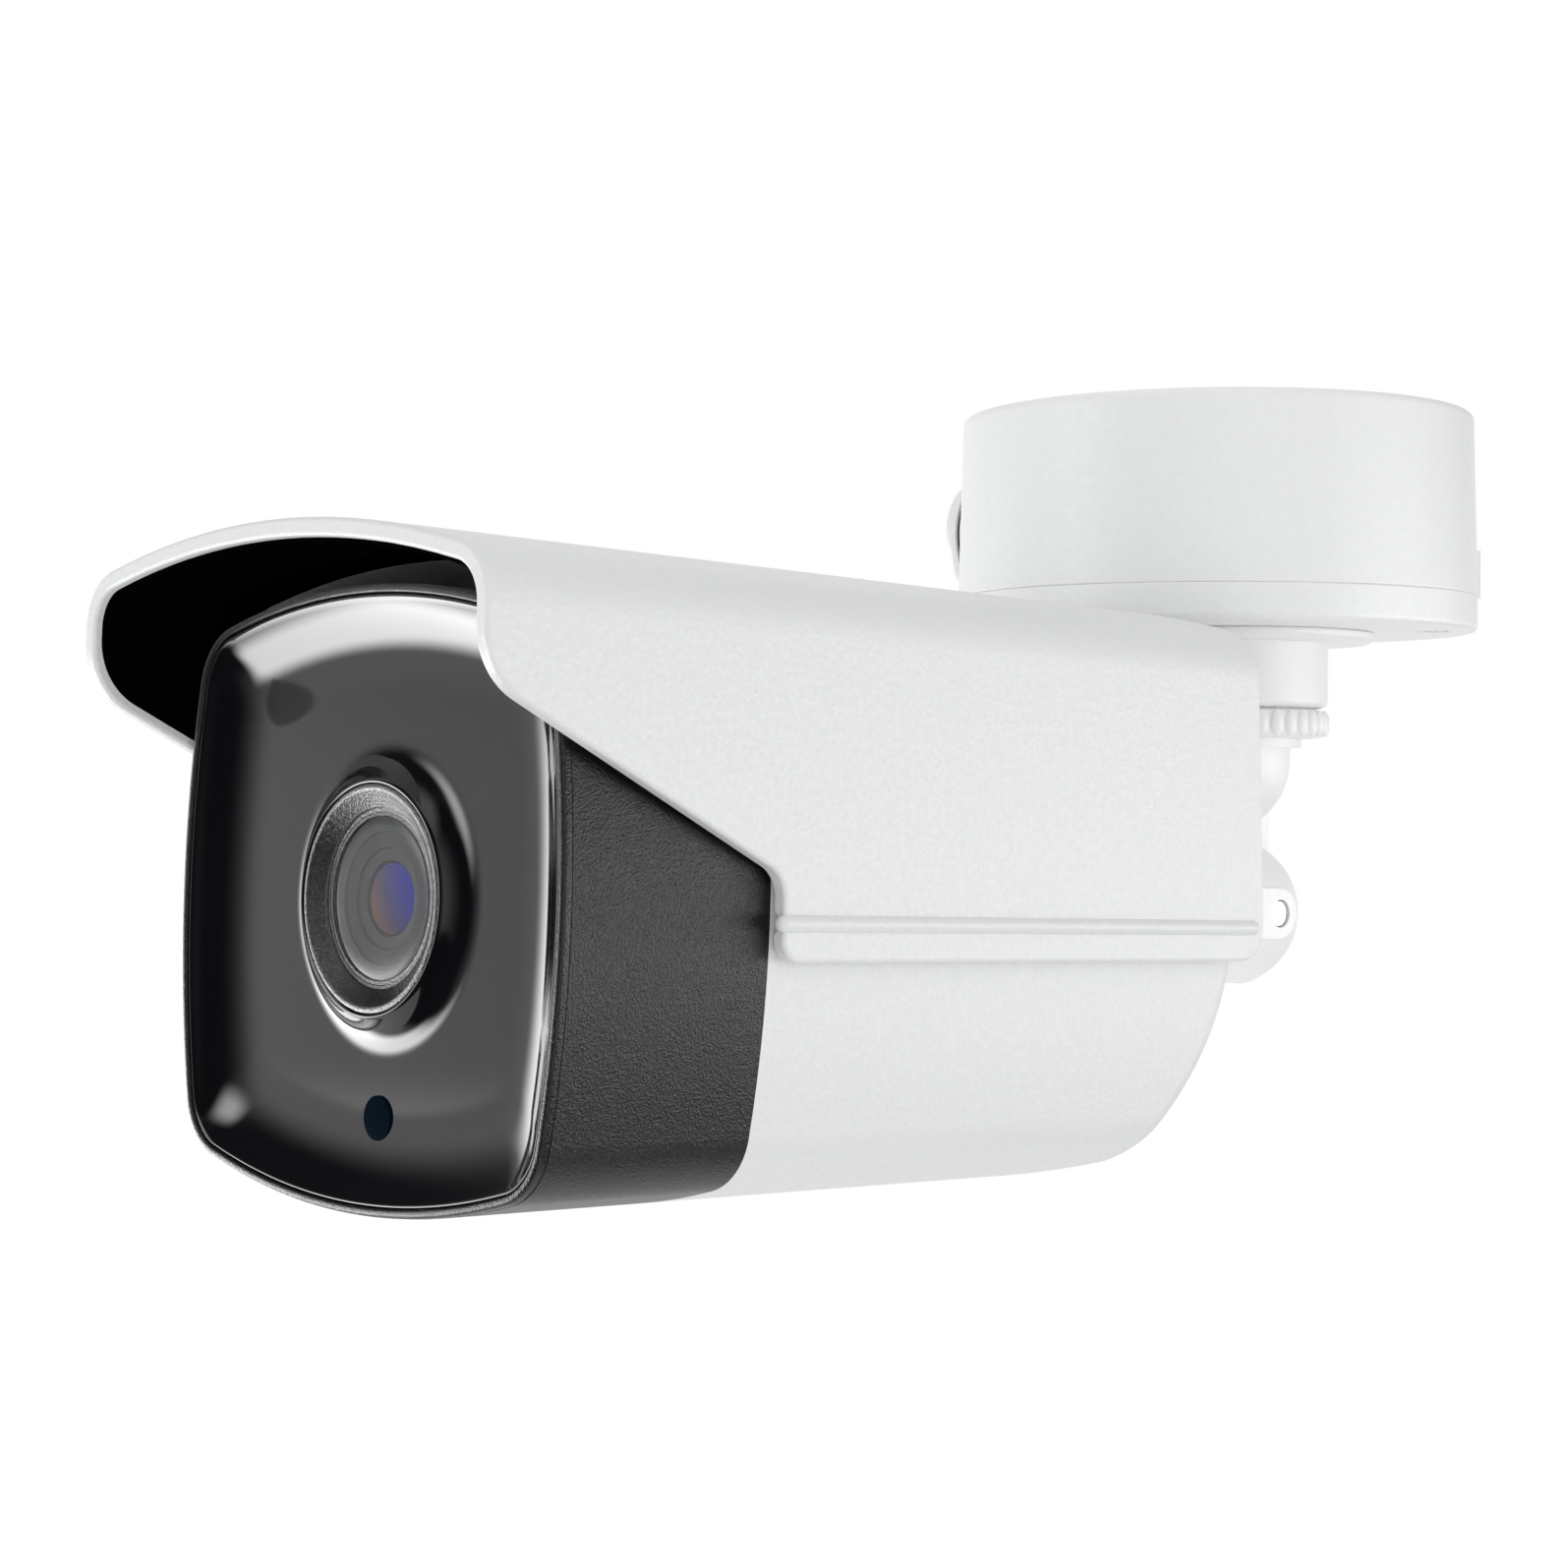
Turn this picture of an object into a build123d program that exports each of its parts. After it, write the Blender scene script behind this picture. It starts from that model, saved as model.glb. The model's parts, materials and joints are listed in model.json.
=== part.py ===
"""Bullet security camera on a round ceiling junction box.

The origin is the centre of the box's ceiling face. +Z points up into the ceiling, the lens
looks along -Y, and the sun shield slides along the same line. The camera is modelled level,
with its lens and roll axis along Y, and then tipped nose up about the tilt bolt.
"""
from build123d import *
from math import asin, cos, degrees, radians, sin, sqrt
import os

# Junction box and its cover, in millimetres
BOX_R = 50.0
BOX_DRAFT = 0.9
BOX_DEPTH = 35.0
BOX_WALL = 2.6
BOX_ROOF = 3.0
BOX_EDGE = 1.6
SEAM_EDGE = 0.3
COVER_H = 6.8
COVER_PLATE = 3.0
COVER_EDGE = 1.2
COVER_LIP = 3.0
GASKET_W = 1.2
GASKET_T = 1.0
BOSS_R = 4.5
BOSS_CIRCLE_R = 41.5
COVER_SCREWS = 3
COVER_SCREW_TURN = 270.0
COVER_SCREW_R = 1.6
COVER_HEAD_R = 3.2
COVER_HEAD_T = 2.0
CEILING_HOLES = 4
CEILING_HOLE_R = 2.25
CEILING_CIRCLE_R = 33.0
CABLE_HOLE_R = 12.5
LUG_PROUD = 0.45
LUG_W = 12.0
LUG_H = 9.3
LUG_ANGLE = 47.0

# Side conduit boss and its plug
CONDUIT_ANGLE = 16.5
CONDUIT_RISE = 13.8
CONDUIT_BOSS_R = 10.8
CONDUIT_PROUD = 0.4
PLUG_HEAD_R = 11.0
PLUG_HEAD_T = 3.0
PLUG_EDGE = 2.2
PLUG_SHANK_R = 8.6
PLUG_SEAL_W = 1.2
PLUG_SEAL_T = 0.8
PLUG_REACH = 4.0

# Bracket base, and the swivel joint that the base and the camera's rear both have
FLANGE_R = 30.5
FLANGE_T = 2.2
FLANGE_EDGE = 1.5
FLANGE_TOP_EDGE = 0.5
BASE_SCREWS = 4
BASE_CIRCLE_R = 26.0
BASE_SCREW_R = 1.6
BASE_HEAD_R = 3.0
BASE_HEAD_T = 1.8
BASE_GRIP = 1.3
NECK_R = 21.8
NECK_H = 12.4
NECK_EDGE = 1.5
THREAD_R = 19.4
THREAD_H = 2.2
RING_R = 22.1
RING_H = 5.5
RING_LIP = 1.4
RING_EDGE = 0.7
RING_GAP = 0.3
FLUTES = 40
FLUTE_W = 1.1
HEAD_FLANGE_T = 1.8
COLLAR_R = 16.8
COLLAR_DROP = 1.8
PIVOT_R = 11.9
PIVOT_L = 9.0
CABLE_BORE_R = 6.0
CABLE_EXIT_R = 3.5

# Swivel arm, tilt knuckle and fork
ARM_R = 14.65
ARM_STRAIGHT = 2.4
HINGE_Y = 2.8
AXIS_DROP = 96.0
REST_TILT = 2.0
TONGUE_T = 10.0
TONGUE_FRONT = 7.0
TONGUE_REAR = 11.0
KNUCKLE_GAP = 0.3
STRAP_H = 10.3
STRAP_HALF = 14.3
STRAP_L = 20.0
STRAP_EDGE = 0.5
STEM_R = 18.6
STEM_FLARE_L = 22.0
BOLT_R = 1.8
BOLT_HEAD_R = 2.3
BOLT_HEAD_T = 3.0
BOLT_RECESS_R = 2.7
BOLT_SUNK = 0.5
NUT_FLATS = 6.0
NUT_T = 3.0

# Camera body
BODY_HALF_W = 48.5
BODY_HALF_H = 46.8
SIDE_R = 180.0
CROWN_R = 140.0
CORNER_R = 11.0
FACE_Y = -200.4
SEAM_Y = -163.4
REAR_Y = -53.0
BARREL_R = 50.0
REAR_EDGE = 4.0
REAR_NECK_L = 2.9
HOUSING_WALL = 3.0
FRONT_WALL = 2.6
LIP_L = 6.0
LIP_T = 1.6
SEAL_T = 0.9
SEAL_W = 1.5
SLIP = 0.1

# Front window and its frame
BEZEL_H = 1.6
BEZEL_W = 1.3
BEZEL_EDGE = 0.5
WINDOW_RIM_PROUD = 1.2
WINDOW_RIM_W = 0.7
WINDOW_DISH = 4.1
WINDOW_DISH_W = 9.0
WINDOW_T = 2.5
WINDOW_SEAL_T = 0.6
TURRET_R = 21.75
TURRET_FILLET = 3.0
LENS_RING_R = 17.2
LENS_RING_EDGE = 0.6
LENS_RING_PROUD = 2.5
LIGHT_PIPE_R = 3.4
LIGHT_PIPE_DROP = 32.8

# Lens and the boards behind it
LENS_R = 12.9
LENS_SINK = 2.2
LENS_TAIL_GAP = 3.8
LENS_TAIL_R = 8.0
LENS_BORE_R = 6.5
FRONT_GLASS_R = 12.3
FRONT_GLASS_T = 3.6
FRONT_GLASS_CROWN = 1.9
REAR_GLASS_T = 2.4
HOLDER_W = 32.0
HOLDER_L = 10.7
CARRIER_T = 2.5
BOARD_T = 1.6
LED_BOARD_INSET = 9.0
LED_BOARD_GAP = 7.4
LED_R = 4.0
LED_H = 3.0
LED_X = 29.0
LED_Z = 26.0
POST_R = 2.5
POST_X = 22.0
POST_Z = 32.0
FILTER_W = 11.0
FILTER_T = 1.0
FILTER_TRAVEL = 8.0
FILTER_GAP = 0.3
FRAME_T = 4.0
FRAME_RIM = 3.0
SENSOR_W = 9.0
SENSOR_H = 7.0
SENSOR_T = 1.0
SENSOR_BOARD_W = 40.0
MAIN_BOARD_W = 62.0
BOARD_GAP = 19.2
SINK_W = 30.0
SINK_BASE = 3.0
SINK_FIN_H = 8.0
SINK_FIN_T = 1.6
SINK_FINS = 7
CARRIER_BOSS_R = 4.5
CARRIER_BOSS_X = 37.5
CARRIER_BOSS_Z = 34.0
CARRIER_BOSS_L = 16.0
CARRIER_SCREW_R = 1.5
CARRIER_HEAD_R = 2.8
CARRIER_HEAD_T = 2.0
CARRIER_SCREW_L = 11.0
GROMMET_R = 6.0
GROMMET_FLANGE_R = 8.5
GROMMET_FLANGE_T = 2.0
GROMMET_HOLE_R = 3.0
GROMMET_DROP = 31.0

# Sun shield
SHIELD_HALF_W = 51.9
SHIELD_TOP = 54.7
SHIELD_WALL = 2.8
SHIELD_CROWN_R = 190.0
SHIELD_CORNER_R = 9.0
SHIELD_DROP = 7.3
VISOR_REACH = 18.8
VISOR_SIDE_H = 23.8
VISOR_CORNER_R = 11.0
SLANT = 24.8
SKIRT_LAP = 0.2
SKIRT_CORNER_R = 5.0
SKIRT_EDGE_R = 3.5
SHIELD_REAR_CORNER_R = 6.0
SHIELD_RIM_R = 0.7
SHIELD_OVERHANG = 1.7
SHIELD_REAR_LEAN = 4.0
RAIL_DROP = 1.6
RAIL_R = 1.8
RAIL_GAP = 0.3
RAIL_FRONT_INSET = 2.4
RAIL_REAR_INSET = 9.0
BEAD_R = 1.3
BEAD_PROUD = 1.0
SHIELD_TRAVEL = 15.0
SLOT_Y = -112.0
SHIELD_SCREW_R = 2.0
SHIELD_HEAD_R = 4.0
SHIELD_HEAD_T = 1.9
SHIELD_HEAD_SINK = 1.2
SHIELD_BOSS_R = 5.0
SHIELD_SCREW_GRIP = 4.0
LINING_T = 0.6
LINING_EDGE = 1.4
LINING_INSIDE = 10.4

# Heights and places that follow from the sizes above
FLOOR_Z = -BOX_DEPTH - COVER_H
CONDUIT_Z = CONDUIT_RISE - BOX_DEPTH
CONDUIT_FACE = BOX_R + CONDUIT_PROUD
NECK_Z = FLOOR_Z - FLANGE_T - NECK_H
AXIS_Z = -AXIS_DROP
HEAD_SEAT = THREAD_H + SLIP
LIP_SEAT = HEAD_SEAT + HEAD_FLANGE_T + SLIP
RING_END = RING_GAP + RING_H
COLLAR_END = RING_END + COLLAR_DROP
DOME_Z = NECK_Z - COLLAR_END - ARM_STRAIGHT
REAR_NECK_Y = REAR_Y + REAR_NECK_L
BEZEL_Y = FACE_Y - BEZEL_H
RIM_Y = FACE_Y - WINDOW_RIM_PROUD
WINDOW_Y = RIM_Y + WINDOW_DISH
WINDOW_BACK = WINDOW_Y + WINDOW_T
LENS_RING_Y = WINDOW_Y - LENS_RING_PROUD
LED_FRONT = WINDOW_BACK + LED_BOARD_GAP
LIP_END = SEAM_Y + LIP_L
CARRIER_FRONT = LIP_END + SLIP
CARRIER_BACK = CARRIER_FRONT + CARRIER_T
LENS_FRONT = LENS_RING_Y + LENS_SINK
SENSOR_FACE = CARRIER_BACK + FRAME_T
MAIN_FACE = SENSOR_FACE + BOARD_T + BOARD_GAP
LENS_BODY_L = CARRIER_FRONT - HOLDER_L - LENS_TAIL_GAP - LENS_FRONT
VISOR_FRONT = FACE_Y - VISOR_REACH
SKIRT_FRONT = SEAM_Y - SKIRT_LAP
SHIELD_REAR = REAR_Y + SHIELD_OVERHANG
RAIL_FRONT = SEAM_Y + RAIL_FRONT_INSET
RAIL_REAR = REAR_Y - RAIL_REAR_INSET
LINING_REAR = FACE_Y + LINING_INSIDE


def facing(y):
    """Plane square to the lens axis at y, with x to +X, its own y to +Z and its normal forward."""
    return Plane(origin=(0, y, AXIS_Z), x_dir=(1, 0, 0), z_dir=(0, -1, 0))


def below(z):
    """Plane at height z whose normal points down."""
    return Plane(origin=(0, 0, z), x_dir=(1, 0, 0), z_dir=(0, 0, -1))


def forward(sketch, back, front):
    """Extrude a sketch drawn about the lens axis from y = back to y = front."""
    return extrude(facing(back) * sketch, back - front)


def pillow(inset):
    """Camera section: four crowned sides with round corners, drawn in by inset."""
    side_x = BODY_HALF_W - SIDE_R
    side_r = SIDE_R - inset
    crown_y = BODY_HALF_H - CROWN_R
    crown_r = CROWN_R - inset
    span = sqrt(side_x ** 2 + crown_y ** 2)
    along = (side_r ** 2 - crown_r ** 2 + span ** 2) / (2 * span)
    across = sqrt(side_r ** 2 - along ** 2)
    step_x = -side_x / span
    step_y = crown_y / span
    x = side_x + along * step_x - across * step_y
    y = along * step_y + across * step_x
    right = ThreePointArc((x, -y), (side_x + side_r, 0), (x, y))
    top = ThreePointArc((x, y), (0, crown_y + crown_r), (-x, y))
    left = ThreePointArc((-x, y), (-side_x - side_r, 0), (-x, -y))
    bottom = ThreePointArc((-x, -y), (0, -crown_y - crown_r), (x, -y))
    face = make_face(Curve() + [right, top, left, bottom])
    return fillet(face.vertices(), CORNER_R - inset)


def band(outer, inner, back, front):
    """Ring between two insets of the camera section."""
    return forward(pillow(outer) - pillow(inner), back, front)


def disc(radius, back, front, x=0.0, z=0.0):
    """Round bar along the lens axis, at x and z from it."""
    return forward(Pos(x, z) * Circle(radius), back, front)


def around_axis(points, start_y, direction):
    """Turn a profile of (radius, distance) points about the lens axis, from start_y along Y."""
    outline = [(radius, start_y + direction * distance) for radius, distance in points]
    profile = make_face(Polyline(*outline, close=True))
    turned = revolve(Plane.XY * profile, Axis.Y)
    return Pos(0, 0, AXIS_Z) * turned


def around_z(points):
    """Turn a profile of (radius, z) points about the pan axis."""
    profile = make_face(Polyline(*points, close=True))
    return revolve(Plane.XZ * profile, Axis.Z)


def bolt_circle(radius, count, start):
    return [Pos(*(radius * cos(radians(a)), radius * sin(radians(a)), 0))
            for a in [start + 360.0 * i / count for i in range(count)]]


def rod(radius, top, bottom, place=None):
    """Upright round bar from z = top down to z = bottom."""
    bar = extrude(below(top) * Circle(radius), top - bottom)
    return place * bar if place else bar


def widest_rim(solid, place, axis=Axis.Z):
    """Widest round edge of a solid at a place along an axis."""
    rims = solid.edges().filter_by(GeomType.CIRCLE).filter_by_position(axis, place - SLIP, place + SLIP)
    return rims.sort_by(SortBy.RADIUS)[-1]


# Junction box
BOX_TOP_R = BOX_R - BOX_DRAFT
BOX_INNER_R = BOX_R - BOX_WALL
CONDUIT_TURN = Rot(0, 0, CONDUIT_ANGLE)
COVER_SCREW_PLACES = bolt_circle(BOSS_CIRCLE_R, COVER_SCREWS, COVER_SCREW_TURN)


def conduit_axis(distance):
    """Plane square to the conduit boss, before its turn: a distance from the box axis, facing outwards."""
    return Plane(origin=(-distance, 0, CONDUIT_Z), x_dir=(0, -1, 0), z_dir=(-1, 0, 0))


def make_box_body():
    cup = around_z([(0, 0), (BOX_TOP_R, 0), (BOX_R, -BOX_DEPTH), (BOX_INNER_R, -BOX_DEPTH),
                    (BOX_TOP_R - BOX_WALL, -BOX_ROOF), (0, -BOX_ROOF)])
    cup = fillet(widest_rim(cup, 0), BOX_EDGE)
    cup = fillet(widest_rim(cup, -BOX_DEPTH), SEAM_EDGE)
    inside = around_z([(0, 0), (BOX_TOP_R - SLIP, 0), (BOX_R - SLIP, -BOX_DEPTH), (0, -BOX_DEPTH)])
    for place in COVER_SCREW_PLACES:
        cup += rod(BOSS_R, -BOX_ROOF, -BOX_DEPTH, place) & inside
    lug = Box(LUG_PROUD + BOX_WALL, LUG_W, LUG_H)
    lug = Pos(BOX_R + LUG_PROUD / 2 - BOX_WALL / 2, 0, LUG_H / 2 - BOX_DEPTH) * lug
    cup += Rot(0, 0, LUG_ANGLE) * lug
    hole_start = BOX_INNER_R - 2 * BOX_WALL
    boss = extrude(conduit_axis(BOX_INNER_R) * Circle(CONDUIT_BOSS_R), CONDUIT_FACE - BOX_INNER_R)
    cup += CONDUIT_TURN * boss
    hole = extrude(conduit_axis(hole_start) * Circle(PLUG_SHANK_R + SLIP), CONDUIT_FACE - hole_start)
    cup -= CONDUIT_TURN * hole
    cup -= rod(CABLE_HOLE_R, 0, -BOX_ROOF)
    for place in bolt_circle(CEILING_CIRCLE_R, CEILING_HOLES, 45.0):
        cup -= rod(CEILING_HOLE_R, 0, -BOX_ROOF, place)
    for place in COVER_SCREW_PLACES:
        cup -= rod(COVER_SCREW_R + SLIP, -BOX_DEPTH / 2, -BOX_DEPTH, place)
    return cup


def make_box_cover():
    plate_top = FLOOR_Z + COVER_PLATE
    lip_r = BOX_INNER_R - SLIP
    lip_z = -BOX_DEPTH + COVER_LIP
    cover = around_z([(0, FLOOR_Z), (BOX_R, FLOOR_Z), (BOX_R, -BOX_DEPTH), (lip_r, -BOX_DEPTH),
                      (lip_r - BOX_DRAFT / 2, lip_z), (lip_r - BOX_WALL, lip_z),
                      (lip_r - BOX_WALL, plate_top), (0, plate_top)])
    cover = fillet(widest_rim(cover, FLOOR_Z), COVER_EDGE)
    cover = fillet(widest_rim(cover, -BOX_DEPTH), SEAM_EDGE)
    gasket_r = (BOX_R + BOX_INNER_R) / 2
    cover -= rod(gasket_r + GASKET_W / 2, -BOX_DEPTH, -BOX_DEPTH - GASKET_T) - rod(
        gasket_r - GASKET_W / 2, -BOX_DEPTH, -BOX_DEPTH - GASKET_T)
    for place in COVER_SCREW_PLACES:
        cover += rod(BOSS_R, -BOX_DEPTH, plate_top, place) & rod(lip_r, 0, FLOOR_Z)
        cover -= rod(BOSS_R + SLIP, lip_z, -BOX_DEPTH, place)
        cover -= rod(COVER_SCREW_R + SLIP, -BOX_DEPTH, FLOOR_Z, place)
        cover -= rod(COVER_HEAD_R + SLIP, FLOOR_Z + COVER_HEAD_T, FLOOR_Z, place)
    cover -= rod(PIVOT_R + SLIP, plate_top, FLOOR_Z)
    for place in bolt_circle(BASE_CIRCLE_R, BASE_SCREWS, 45.0):
        cover -= rod(BASE_SCREW_R + SLIP, plate_top, FLOOR_Z, place)
    return cover


def make_cover_gasket():
    gasket_r = (BOX_R + BOX_INNER_R) / 2
    outer = rod(gasket_r + GASKET_W / 2 - SLIP, -BOX_DEPTH, -BOX_DEPTH - GASKET_T)
    return outer - rod(gasket_r - GASKET_W / 2 + SLIP, -BOX_DEPTH, -BOX_DEPTH - GASKET_T)


def make_cover_screws():
    screws = []
    for place in COVER_SCREW_PLACES:
        shank = rod(COVER_SCREW_R, -BOX_DEPTH / 2 - BOSS_R, FLOOR_Z + COVER_HEAD_T, place)
        screws.append(shank + rod(COVER_HEAD_R, FLOOR_Z + COVER_HEAD_T, FLOOR_Z, place))
    return Part() + screws


def make_conduit_plug():
    seat = CONDUIT_FACE + PLUG_SEAL_T
    head = extrude(conduit_axis(seat) * Circle(PLUG_HEAD_R), PLUG_HEAD_T)
    head = fillet(head.edges().group_by(Axis.X)[0], PLUG_EDGE)
    shank_l = seat - BOX_TOP_R + PLUG_REACH
    return CONDUIT_TURN * (head + extrude(conduit_axis(seat - shank_l) * Circle(PLUG_SHANK_R), shank_l))


def make_plug_seal():
    ring = Circle(PLUG_SHANK_R + SLIP + PLUG_SEAL_W) - Circle(PLUG_SHANK_R + SLIP)
    return CONDUIT_TURN * extrude(conduit_axis(CONDUIT_FACE) * ring, PLUG_SEAL_T)


# Swivel joint that the ceiling base and the camera's rear share
def swivel_neck(root):
    """(radius, distance) outline of the fixed half, from root inside the part to the thread's end."""
    return [(PIVOT_R + SLIP, -root), (NECK_R, -root), (NECK_R, 0), (THREAD_R, 0), (THREAD_R, THREAD_H),
            (PIVOT_R + SLIP, THREAD_H)]


def swivel_head(inner):
    """(radius, distance) outline of the turning half: pivot, head flange and collar."""
    return [(inner, HEAD_SEAT - PIVOT_L), (PIVOT_R, HEAD_SEAT - PIVOT_L), (PIVOT_R, HEAD_SEAT),
            (THREAD_R - SLIP, HEAD_SEAT), (THREAD_R - SLIP, LIP_SEAT - SLIP), (COLLAR_R, LIP_SEAT - SLIP),
            (COLLAR_R, COLLAR_END), (inner, COLLAR_END)]


def make_lock_ring():
    """Fluted ring about Z, its joint face at z = 0 and its lip below."""
    bore = THREAD_R + SLIP
    lip_bore = COLLAR_R + SLIP
    ring = around_z([(bore, -RING_GAP), (RING_R - RING_EDGE, -RING_GAP), (RING_R, -RING_GAP - RING_EDGE),
                     (RING_R, -RING_END + RING_EDGE), (RING_R - RING_EDGE, -RING_END), (lip_bore, -RING_END),
                     (lip_bore, -LIP_SEAT), (bore, -LIP_SEAT)])
    flute_h = RING_H - 2 * RING_EDGE
    notch = Pos(RING_R, 0, -RING_GAP - RING_H / 2) * Rot(0, 0, 45) * Box(FLUTE_W, FLUTE_W, flute_h)
    return ring - [Rot(0, 0, 360.0 * i / FLUTES) * notch for i in range(FLUTES)]


def make_pan_lock_ring():
    return Pos(0, 0, NECK_Z) * make_lock_ring()


def make_roll_lock_ring():
    return Pos(0, REAR_NECK_Y, AXIS_Z) * Rot(90, 0, 0) * make_lock_ring()


def make_bracket_base():
    neck = around_z([(radius, NECK_Z - distance) for radius, distance in swivel_neck(NECK_H)])
    neck = fillet(widest_rim(neck, NECK_Z), NECK_EDGE)
    flange = rod(FLANGE_R, FLOOR_Z, FLOOR_Z - FLANGE_T)
    flange = fillet(widest_rim(flange, FLOOR_Z - FLANGE_T), FLANGE_EDGE)
    flange = fillet(widest_rim(flange, FLOOR_Z), FLANGE_TOP_EDGE)
    flange -= rod(PIVOT_R + SLIP, FLOOR_Z, FLOOR_Z - FLANGE_T)
    base = neck + flange
    for place in bolt_circle(BASE_CIRCLE_R, BASE_SCREWS, 45.0):
        base -= rod(BASE_SCREW_R + SLIP, FLOOR_Z, FLOOR_Z - BASE_GRIP, place)
    return base


def make_base_screws():
    seat = FLOOR_Z + COVER_PLATE
    screws = []
    for place in bolt_circle(BASE_CIRCLE_R, BASE_SCREWS, 45.0):
        shank = rod(BASE_SCREW_R, seat, FLOOR_Z - BASE_GRIP + SLIP, place)
        screws.append(shank + rod(BASE_HEAD_R, seat + BASE_HEAD_T, seat, place))
    return Part() + screws


# Arm, knuckle and fork
KNUCKLE_PLANE = Plane(origin=(0, HINGE_Y, AXIS_Z), x_dir=(0, 1, 0), z_dir=(1, 0, 0))
TONGUE_R = ARM_R - 2.5 * KNUCKLE_GAP


def across(sketch, half):
    """Extrude a sketch drawn about the tilt bolt to both sides, to half each way."""
    return extrude(KNUCKLE_PLANE * sketch, half, both=True)


def make_swivel_arm():
    arm = around_z([(radius, NECK_Z - distance) for radius, distance in swivel_head(CABLE_BORE_R)])
    straight = rod(ARM_R, NECK_Z - COLLAR_END, DOME_Z)
    dome = Pos(0, 0, DOME_Z) * Sphere(ARM_R)
    arm += straight + (dome & rod(ARM_R, DOME_Z, DOME_Z - ARM_R))
    exit_z = DOME_Z - CABLE_EXIT_R
    arm -= rod(CABLE_BORE_R, NECK_Z, exit_z)
    way_out = Plane(origin=(0, 0, exit_z), x_dir=(1, 0, 0), z_dir=(0, -1, 0))
    way_out = extrude(way_out * Circle(CABLE_EXIT_R), ARM_R)
    rise = DOME_Z - AXIS_Z
    blade = Polyline((-TONGUE_FRONT - HINGE_Y, 0), (-TONGUE_FRONT - HINGE_Y, rise),
                     (TONGUE_REAR - HINGE_Y, rise), (TONGUE_REAR - HINGE_Y, 0), close=True)
    arm += across(make_face(blade) + Circle(TONGUE_R), TONGUE_T / 2)
    return arm - way_out - across(Circle(BOLT_R + SLIP / 2), TONGUE_T)


def make_tilt_fork():
    stem_end = REAR_NECK_Y + COLLAR_END
    fork = around_axis(swivel_head(0), REAR_NECK_Y, 1)
    knuckle = disc(ARM_R, HINGE_Y, stem_end) + Pos(0, HINGE_Y, AXIS_Z) * Sphere(ARM_R)
    fork += knuckle & Pos(0, HINGE_Y, AXIS_Z) * Box(2 * STRAP_HALF, 2 * AXIS_DROP, 2 * AXIS_DROP)
    flare_y = HINGE_Y - TONGUE_R
    fork += around_axis([(0, 0), (STEM_R, 0), (STEM_R, flare_y - STEM_FLARE_L - stem_end),
                         (ARM_R, flare_y - stem_end), (0, flare_y - stem_end)], stem_end, 1)
    strap = Pos(STRAP_H / 2 - STRAP_L / 2, 0) * SlotOverall(STRAP_L, STRAP_H)
    strap = across(strap, STRAP_HALF)
    strap_ends = strap.faces().sort_by(Axis.X)
    fork += fillet(strap_ends[0].edges() + strap_ends[-1].edges(), STRAP_EDGE)
    slot_front = HINGE_Y - TONGUE_R - KNUCKLE_GAP
    slot = Box(TONGUE_T + 2 * KNUCKLE_GAP, 4 * ARM_R, 4 * ARM_R)
    fork -= Pos(0, slot_front + 2 * ARM_R, AXIS_Z) * slot
    fork -= across(Circle(BOLT_R + SLIP), STRAP_HALF)
    face = KNUCKLE_PLANE.offset(STRAP_HALF)
    fork -= extrude(face * Circle(BOLT_RECESS_R), -BOLT_HEAD_T - BOLT_SUNK)
    back = KNUCKLE_PLANE.offset(-STRAP_HALF)
    pocket = RegularPolygon(NUT_FLATS / 2 + SLIP, 6, major_radius=False)
    return fork - extrude(back * pocket, NUT_T + BOLT_SUNK)


def make_tilt_bolt():
    seat = STRAP_HALF - BOLT_SUNK - BOLT_HEAD_T
    head = extrude(KNUCKLE_PLANE.offset(seat) * Circle(BOLT_HEAD_R), BOLT_HEAD_T)
    end = BOLT_SUNK - STRAP_HALF
    return head + extrude(KNUCKLE_PLANE.offset(end) * Circle(BOLT_R), seat - end)


def make_tilt_nut():
    back = KNUCKLE_PLANE.offset(BOLT_SUNK - STRAP_HALF)
    nut = RegularPolygon(NUT_FLATS / 2, 6, major_radius=False) - Circle(BOLT_R + SLIP / 2)
    return extrude(back * nut, NUT_T)


# Camera housings
def housing_block(inset, front):
    """Camera section from y = front to a rear end that is rounded in side view."""
    centre_y = REAR_Y - BARREL_R
    block = forward(pillow(inset), REAR_Y - inset, front)
    barrel = Plane(origin=(-BODY_HALF_W, centre_y, AXIS_Z), x_dir=(0, 1, 0), z_dir=(1, 0, 0))
    barrel = extrude(barrel * Circle(BARREL_R - inset), 2 * BODY_HALF_W)
    return block & (barrel + forward(Rectangle(2 * BODY_HALF_W, 2 * BARREL_R), centre_y, front))


def grommet_plane(offset):
    """Plane on the rounded rear, below the swivel, facing outwards."""
    slope = asin(GROMMET_DROP / BARREL_R)
    reach = BARREL_R + offset
    origin = (0, REAR_Y - BARREL_R + reach * cos(slope), AXIS_Z - reach * sin(slope))
    return Plane(origin=origin, x_dir=(1, 0, 0), z_dir=(0, cos(slope), -sin(slope)))


def corner_places(x, z):
    return [(sx * x, sz * z) for sx in (-1, 1) for sz in (-1, 1)]


def rail_bar(radius, back, front):
    """Round bars along both sides at the height of the sun shield's rail."""
    return [disc(radius, back, front, side * BODY_HALF_W, -RAIL_DROP) for side in (-1, 1)]


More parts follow.
